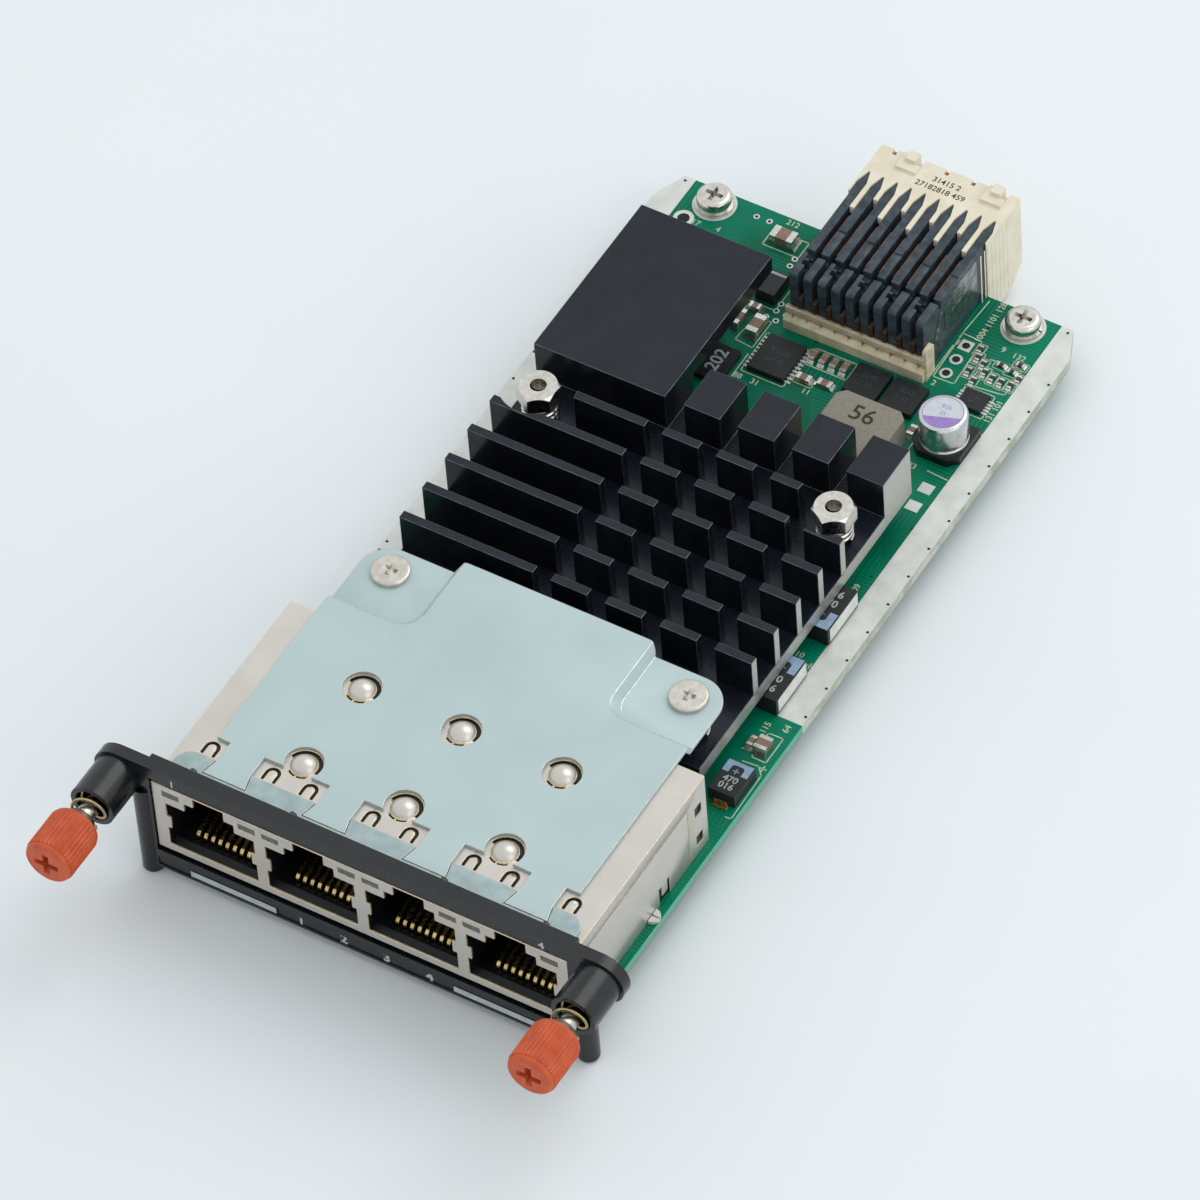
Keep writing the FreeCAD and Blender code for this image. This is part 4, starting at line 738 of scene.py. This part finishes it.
# Heat sink: black anodised aluminium with milled cross cuts, cast in one with its fins. Its right and left
# ends were sawn after the dye, so they are bare metal. Its eased edges are painted a lighter metallic grey as
# a painted highlight, and its other upright faces a lighter, glossier black as a painted sheen.
sink_finish = finish("black_anodised", srgb(24, 30, 41), srgb(17, 22, 31), 3.0, 0.25, 0.0, gloss=0.3,
                     bump=0.002, bump_grain=0.25, spread=0.05)
sawn_finish = finish("sawn_aluminium", srgb(196, 196, 190), srgb(176, 176, 170), 0.5, 0.4, 0.85,
                     bump=0.01, bump_grain=0.25, stretch=(1.0, 1.0, 6.0))
sink_highlight_finish = finish("sink_edge_painted_highlight", srgb(104, 108, 116), srgb(66, 70, 78), 1.4, 0.3, 0.7)
sink_sheen_finish = finish("sink_flank_painted_sheen", srgb(34, 38, 46), srgb(24, 28, 35), 2.0, 0.2, 0.55, gloss=0.6,
                      spread=0.04)
fin_sink = 0.3
end_skin = 0.05
sink_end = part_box("heat_sink")[1].x
fins_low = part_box("sink_fins")[0].z
bm = merged_copy("heat_sink", True)
fins = merged_copy("sink_fins", True)
# The fins' feet reach a little way into the base, so that no seam shows.
for vert in fins.verts:
    if vert.co.z < fins_low + touch:
        vert.co.z -= fin_sink * mm
fins_mesh = bpy.data.meshes.new("fins")
fins.to_mesh(fins_mesh)
fins.free()
bm.from_mesh(fins_mesh)
# The two ends are sawn metal, and the other upright faces shine more than the tops: they take a lighter,
# glossier black, a painted sheen.
for face in bm.faces:
    if abs(face.calc_center_median().x) > sink_end - end_skin * mm:
        face.material_index = 1
    elif abs(face.normal.z) < 0.5:
        face.material_index = 3
piece("finned_sink", bm, [sink_finish, sawn_finish, sink_highlight_finish, sink_sheen_finish],
      hides=("heat_sink", "sink_fins"), ease=0.07, cut_or_highlight_edge=2)

# Parts on the board: moulded chips, the pressed powder inductor, tantalum blocks and small
# ceramic parts. The tops of the larger ones carry plain figures.
chip_finish = finish("chip_black", srgb(28, 31, 34), srgb(20, 23, 25), 0.5, 0.5, gloss=0.35, bump=0.006,
                     bump_grain=0.1)
powder_finish = finish("pressed_powder", srgb(144, 139, 127), srgb(132, 127, 115), 0.35, 0.6, gloss=0.25,
                       bump=0.01, bump_grain=0.12)
ceramic_finish = finish("ceramic_brown", srgb(142, 118, 100), srgb(124, 100, 84), 0.6, 0.4)
pad_finish = finish("thermal_pad_grey", srgb(160, 165, 170), srgb(145, 150, 156), 1.5, 0.7)
resistor_finish = finish("resistor_body", srgb(38, 40, 44), srgb(26, 28, 32), 0.6, 0.4)
for node in ("main_chip", "power_module"):
    dress(node, chip_finish)
dress("thermal_pad", pad_finish)
dress("can_base", black_finish)
dress("ceramic_capacitors", ceramic_finish)
dress("resistors", resistor_finish)
for node in ("chip_leads", "inductor_terminals", "footprint_pads", "connector_tails"):
    dress(node, tin_finish)
eased_copy("inductor", "inductor_block", [powder_finish], ease=0.12)
for node, ease in (("power_chips", 0.05), ("controller_chips", 0.05), ("diode", 0.1),
                   ("tantalum_capacitors", 0.06)):
    eased_copy(node, node + "_body", [chip_finish], ease=ease)

pale_print = finish("pale_print", srgb(176, 184, 186), srgb(150, 158, 160), 0.6, 0.6, gloss=0.2)
faint_print = finish("faint_print", srgb(70, 76, 80), srgb(52, 58, 62), 0.5, 0.6, gloss=0.2)
label_finish = finish("white_label", srgb(226, 228, 224), srgb(208, 210, 206), 0.9, 0.5, gloss=0.3)
dark_print = finish("dark_print", srgb(66, 62, 54), srgb(50, 47, 42), 0.5, 0.6, gloss=0.2)
blue_print = finish("blue_print", srgb(148, 172, 196), srgb(128, 154, 182), 0.8, 0.5, gloss=0.3)

print_sink = 0.004
inductor_figure = 2.4
inductor_inset = 2.9
chip_height = 0.75
chip_first = 0.7
chip_step = 1.3
controller_share = 0.16
inductor_low, inductor_high = loose_boxes("inductor")[0]


def middle_of(low, high, axis):
    """The middle of a box along an axis."""
    return (low[axis] + high[axis]) / 2


def add_rows(bm, low, high, rows, height, first, step, weight=0.0):
    """Rows of figures on a part's top, from a first place above its middle down by steps."""
    x = middle_of(low, high, 0)
    for row, figures in enumerate(rows):
        y = middle_of(low, high, 1) + first - step * row
        add_figures(bm, figures, height, flat_at(x, y, high[2] - print_sink), weight)


bm = bmesh.new()
figures_at = flat_at(middle_of(inductor_low, inductor_high, 0), inductor_high[1] - inductor_inset,
                     inductor_high[2] - print_sink)
add_figures(bm, "56", inductor_figure, figures_at, 0.01)
piece("inductor_figures", bm, [dark_print])

bm = bmesh.new()
for low, high in loose_boxes("power_chips"):
    add_rows(bm, low, high, ("2042", "7 31"), chip_height, chip_first, chip_step)
for low, high in loose_boxes("controller_chips"):
    size = controller_share * (high[1] - low[1])
    add_rows(bm, low, high, ("5108", "64 0"), size, 0.8 * size, 1.6 * size)
piece("chip_figures", bm, [faint_print])

# The tantalum blocks, from front to rear: two rows of figures, a pale blue field round a dark
# tile with a plus mark at the marked end, and a white label on the side of all but the first.
# The marked end looks to the rear on the first two. A gilded lead shows in front of the first.
tantalums = sorted(loose_boxes("tantalum_capacitors"), key=lambda corners: corners[0][1])
marked_at_rear = 2
figure_share = 0.25
row_first = 0.06
row_step = 0.22
field_share = 0.38
field_margin = 0.12
tile_place = 0.3
tile_share = 0.19
tile_flat = 0.62
tile_corner = 0.6
tile_steps = 24
arm_long = 0.62
arm_half = 0.09
tile_foot = 0.001
tile_depth = 0.006
mark_foot = 0.003
mark_top = 0.01
label_front = 0.5
label_rear = 0.1
label_low = 0.35
label_top = 0.25
label_rise = 0.02
stripe_side = 0.15
stripe_near = 0.35
stripe_far = 0.75
left_chip_figure = 1.7
left_chip_x = -8.3
left_chip_y = 97.6

figures_bm = bmesh.new()
fields = bmesh.new()
tiles = bmesh.new()
marks = bmesh.new()
chip_top = loose_boxes("power_chips")[0][1][2]
figures_at = flat_at(left_chip_x, left_chip_y, chip_top - print_sink, 90)
add_figures(figures_bm, "202", left_chip_figure, figures_at, 0.02)
diode_low, diode_high = loose_boxes("diode")[0]
add_box(figures_bm, place(diode_low[0] + stripe_side, diode_high[1] - stripe_far, diode_high[2] - print_sink),
        place(diode_high[0] - stripe_side, diode_high[1] - stripe_near, diode_high[2] + print_lift))
for order, (low, high) in enumerate(tantalums):
    sign = -1 if order < marked_at_rear else 1
    marked_end = high[1] if order < marked_at_rear else low[1]
    width = high[0] - low[0]
    length = high[1] - low[1]
    add_rows(figures_bm, low, high, ("470", "016"), figure_share * width, sign * row_first * length,
             -sign * row_step * length, 0.02)
    field_near = marked_end + sign * field_margin
    field_far = marked_end + sign * field_share * length
    y0, y1 = sorted((field_near, field_far))
    add_box(fields, place(low[0] + field_margin, y0, high[2] - print_sink),
            place(high[0] - field_margin, y1, high[2] + print_sink))
    middle_x = middle_of(low, high, 0)
    middle_y = marked_end + sign * tile_place * length
    reach = tile_share * width
    outline = []
    for i in range(tile_steps):
        across = math.cos(2 * math.pi * i / tile_steps)
        up = math.sin(2 * math.pi * i / tile_steps)
        x = middle_x + math.copysign(reach * tile_flat, across) + reach * tile_corner * across
        y = middle_y + math.copysign(reach * tile_flat, up) + reach * tile_corner * up
        outline.append(place(x, y, high[2] + tile_foot))
    add_plate(tiles, outline, (0, 0, tile_depth * mm))
    for arm_x, arm_y in ((arm_long, arm_half), (arm_half, arm_long)):
        add_box(marks, place(middle_x - reach * arm_x, middle_y - reach * arm_y, high[2] + mark_foot),
                place(middle_x + reach * arm_x, middle_y + reach * arm_y, high[2] + mark_top))
piece("block_figures", figures_bm, [pale_print])
piece("block_fields", fields, [blue_print])
bm = bmesh.new()
for low, high in tantalums[1:]:
    add_box(bm, place(high[0] - print_sink, low[1] + label_front, label_low),
            place(high[0] + label_rise, high[1] - label_rear, high[2] - label_top))
piece("block_side_labels", bm, [label_finish])
lead_reach = 0.9
lead_gap = 0.02
lead_bend = 0.45
lead_steps = ((1.15, lead_reach, 0, 0.3), (0.95, lead_bend * lead_reach, 0.3, 0.9))
bm = bmesh.new()
low, high = tantalums[0]
middle_x = middle_of(low, high, 0)
for half, reach, foot, top in lead_steps:
    add_box(bm, place(middle_x - half, low[1] - reach, foot), place(middle_x + half, low[1] - lead_gap, top))
piece("block_lead", bm, [gold_finish], ease=0.06)
piece("block_tiles", tiles, [chip_finish])
piece("block_plus_marks", marks, [blue_print])

# Can capacitor: a drawn aluminium can with a rolled groove. Its top is printed with a purple
# segment and a thin purple rim.
can_finish = finish("can_aluminium", srgb(206, 208, 208), srgb(192, 194, 194), 1.4, 0.22, 0.95)
top_finish = finish("can_top", srgb(202, 206, 212), srgb(194, 198, 206), 1.0, 0.4, 0.2)
purple_finish = finish("purple_print", srgb(158, 130, 196), srgb(146, 118, 186), 0.8, 0.5)
eased_copy("can_capacitor", "can_body", [can_finish], ease=0.02)
can_low, can_high = loose_boxes("can_capacitor")[0]
can_x = middle_of(can_low, can_high, 0)
can_y = middle_of(can_low, can_high, 1)
can_top = can_high[2]
disc_radius = 2.62
rim_outer = 2.6
rim_inner = 2.5
rim_steps = 48
segment_middle = -70
segment_half = 72
segment_steps = 24
disc_foot = 0.01
disc_lift = 0.004
segment_depth = 0.006
rim_depth = 0.005
can_figure = 0.62
can_first = 0.95
can_step = 1.1


def can_spot(radius, angle):
    """A point on the can's top, by its distance from the middle and its direction."""
    return place(can_x + radius * math.cos(angle), can_y + radius * math.sin(angle), can_top + disc_lift)


bm = bmesh.new()
add_disc(bm, disc_radius, can_x, can_y, can_top - disc_foot, can_top + disc_lift, rim_steps)
piece("can_top_print", bm, [top_finish])
bm = bmesh.new()
segment = []
for i in range(segment_steps + 1):
    degrees = segment_middle - segment_half + 2 * segment_half * i / segment_steps
    segment.append(can_spot(rim_inner, math.radians(degrees)))
add_plate(bm, segment, (0, 0, segment_depth * mm))
for i in range(rim_steps):
    a0 = 2 * math.pi * i / rim_steps
    a1 = 2 * math.pi * (i + 1) / rim_steps
    corners = [(rim_outer, a0), (rim_outer, a1), (rim_inner, a1), (rim_inner, a0)]
    add_plate(bm, [can_spot(radius, angle) for radius, angle in corners], (0, 0, rim_depth * mm))
for row, figures in enumerate(("820", "25")):
    figures_at = flat_at(can_x, can_y + can_first - can_step * row, can_top + disc_lift)
    add_figures(bm, figures, can_figure, figures_at)
piece("can_purple_print", bm, [purple_finish])

# Rear connector: a cream moulding over ten dark wafers, with copper alloy blades between
# them and a cream comb that holds their front ends. The comb carries painted shade in brown in its recesses
# and along its upper rear edge, three thin brown patches lie near the housing's rear edge, and the right
# wafer carries a bright stamped plate.
cream_finish = finish("cream_moulding", srgb(232, 225, 205), srgb(224, 214, 190), 2.2, 0.45, gloss=0.35,
                      bump=0.006, bump_grain=0.25)
wafer_finish = finish("wafer_slate", srgb(66, 78, 88), srgb(44, 53, 60), 1.1, 0.32, gloss=0.3, bump=0.008,
                      bump_grain=0.3)
copper_finish = finish("copper_alloy", srgb(150, 104, 74), srgb(120, 80, 56), 0.8, 0.35, 0.8)
rear_brown_finish = finish("rear_brown_patch", srgb(176, 128, 78), srgb(104, 68, 40), 0.5, 0.6, gloss=0.2)
foil_finish = finish("stamped_plate", srgb(150, 156, 156), srgb(96, 104, 106), 1.2, 0.25, 0.95, bump=0.03,
                     bump_grain=0.9)
shade_from_y = 107.3
shade_to_y = 108.2
clear_end = 1.3
dark_shade_from = 3.5


def comb_with_painted_shade():
    """Cream, with painted shade: brown that deepens towards the rear of its recesses and along its upper rear
    edge.
    """
    material = finish("comb_cream", srgb(226, 216, 188), srgb(206, 192, 158), 1.6, 0.5, gloss=0.3, bump=0.01,
                      bump_grain=0.3)
    nodes = material.node_tree.nodes
    links = material.node_tree.links
    shader = nodes["Principled BSDF"]
    ground = shader.inputs["Base Color"].links[0].from_socket
    coords, axes = part_axes(nodes, links)
    cloud = noise_of(nodes, links, coords, 0.9, 4.0)
    # Painted shade: brown deepening towards the rear of the recesses, and dark brown over the upper part,
    # both kept off the right end.
    depth = ranged(nodes, links, axes[1], place(0, shade_from_y, 0).y, place(0, shade_to_y, 0).y, 0.0, 0.75)
    share = ranged(nodes, links, calc(nodes, links, "ADD", depth, cloud), 0.75, 1.2, 0.0, 0.85)
    right_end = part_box("connector_comb")[1].x
    inner = calc(nodes, links, "LESS_THAN", axes[0], right_end - clear_end * mm)
    share = calc(nodes, links, "MULTIPLY", share, inner)
    shaded_brown = blended(nodes, links, share, ground, srgb(120, 82, 48))
    above = calc(nodes, links, "GREATER_THAN", axes[2], place(0, 0, dark_shade_from).z)
    between = calc(nodes, links, "MULTIPLY", above, inner)
    links.new(blended(nodes, links, between, shaded_brown, srgb(62, 48, 38)), shader.inputs["Base Color"])
    return material


eased_copy("connector_housing", "connector_cream", [cream_finish], ease=0.06)
eased_copy("connector_comb", "comb_cream", [comb_with_painted_shade()], ease=0.06)
eased_copy("connector_wafers", "wafer_stack", [wafer_finish], ease=0.06)
dress("connector_blades", copper_finish)

housing_low, housing_high = loose_boxes("connector_housing")[0]
wafers = loose_boxes("connector_wafers")
last_wafer = wafers[-1]
connector_x = (wafers[0][0][0] + last_wafer[1][0]) / 2
housing_rear = housing_high[1]
# Three thin brown patches near the housing's rear edge, just under its top.
patch_half = 0.28
patch_front = 0.88
patch_rear = 0.06
patch_low = 8.92
patch_top = 8.96
bm = bmesh.new()
for offset in (-7.8, -0.3, 3.5):
    x = connector_x + offset
    add_box(bm, place(x - patch_half, housing_rear - patch_front, patch_low),
            place(x + patch_half, housing_rear - patch_rear, patch_top))
piece("rear_brown_patches", bm, [rear_brown_finish])

# The stamped plate on the right wafer: a large field with four ridges, and a slanting bar before it.
side_x = last_wafer[1][0]
plate_gap = 0.01
field_depth = 0.05
bar_depth = 0.08
field_outline = [(113.4, 3.4), (121.6, 2.6), (121.6, 8.2), (116.2, 8.4), (113.4, 6.8)]
bar_outline = [(110.4, 3.0), (111.1, 3.0), (112.9, 7.4), (112.2, 7.4)]
ridge_count = 4
ridge_front = 115.2
ridge_rear = 121.2
ridge_low = 5.2
ridge_pitch = 0.75
ridge_height = 0.22
ridge_slant = 0.25
ridge_near = 0.04
ridge_far = 0.1
bm = bmesh.new()
add_plate(bm, [place(side_x + plate_gap, y, z) for y, z in field_outline], (field_depth * mm, 0, 0))
for i in range(ridge_count):
    z = ridge_low + ridge_pitch * i
    add_box(bm, place(side_x + ridge_near, ridge_front + ridge_slant * i, z),
            place(side_x + ridge_far, ridge_rear, z + ridge_height))
add_plate(bm, [place(side_x + plate_gap, y, z) for y, z in bar_outline], (bar_depth * mm, 0, 0))
piece("wafer_side_plate", bm, [foil_finish], ease=0.02)

# Low upright ribs along the housing's right side.
rib_count = 8
rib_first = 0.9
rib_pitch = 0.95
rib_half = 0.13
rib_low = -3.6
rib_top = 8.6
rib_sink = 0.02
rib_rise = 0.03
bm = bmesh.new()
for i in range(rib_count):
    y = housing_low[1] + rib_first + rib_pitch * i
    add_box(bm, place(housing_high[0] - rib_sink, y - rib_half, rib_low),
            place(housing_high[0] + rib_rise, y + rib_half, rib_top))
piece("housing_side_ribs", bm, [cream_finish], ease=0.02)

figures_z = 9.396
bm = bmesh.new()
for figures, x, inset in (("31415 2", 0.6, 2.2), ("27182818 459", 0.4, 3.6)):
    add_figures(bm, figures, label_height, flat_at(connector_x + x, housing_rear - inset, figures_z), 0.015)
piece("housing_figures", bm, [dark_print])

# Thumbscrews: orange red moulded knobs on bright captive screws, pushed out by coil springs.
knob_finish = finish("knob_orange", srgb(204, 92, 52), srgb(188, 78, 42), 1.6, 0.5, gloss=0.35, bump=0.012,
                     bump_grain=0.12)
brass_finish = finish("chromated_wire", srgb(190, 172, 128), srgb(160, 142, 100), 0.8, 0.3, 1.0)
# The collars are painted a dark steel grey: painted shade, as they sit deep in the bosses that hold the
# screws.
shaded_collar_finish = finish("collar_steel_painted_shade", srgb(104, 100, 92), srgb(80, 76, 70), 0.8, 0.35, 0.9)
for name in ("left", "right"):
    dress(name + "_knob", knob_finish)
    dress(name + "_captive_screw", steel_finish)
    dress(name + "_spring_collar", shaded_collar_finish)
    spring = piece(name + "_coil", merged_copy(name + "_thumb_spring", False), [brass_finish],
                   hides=(name + "_thumb_spring",))
    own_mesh(spring)
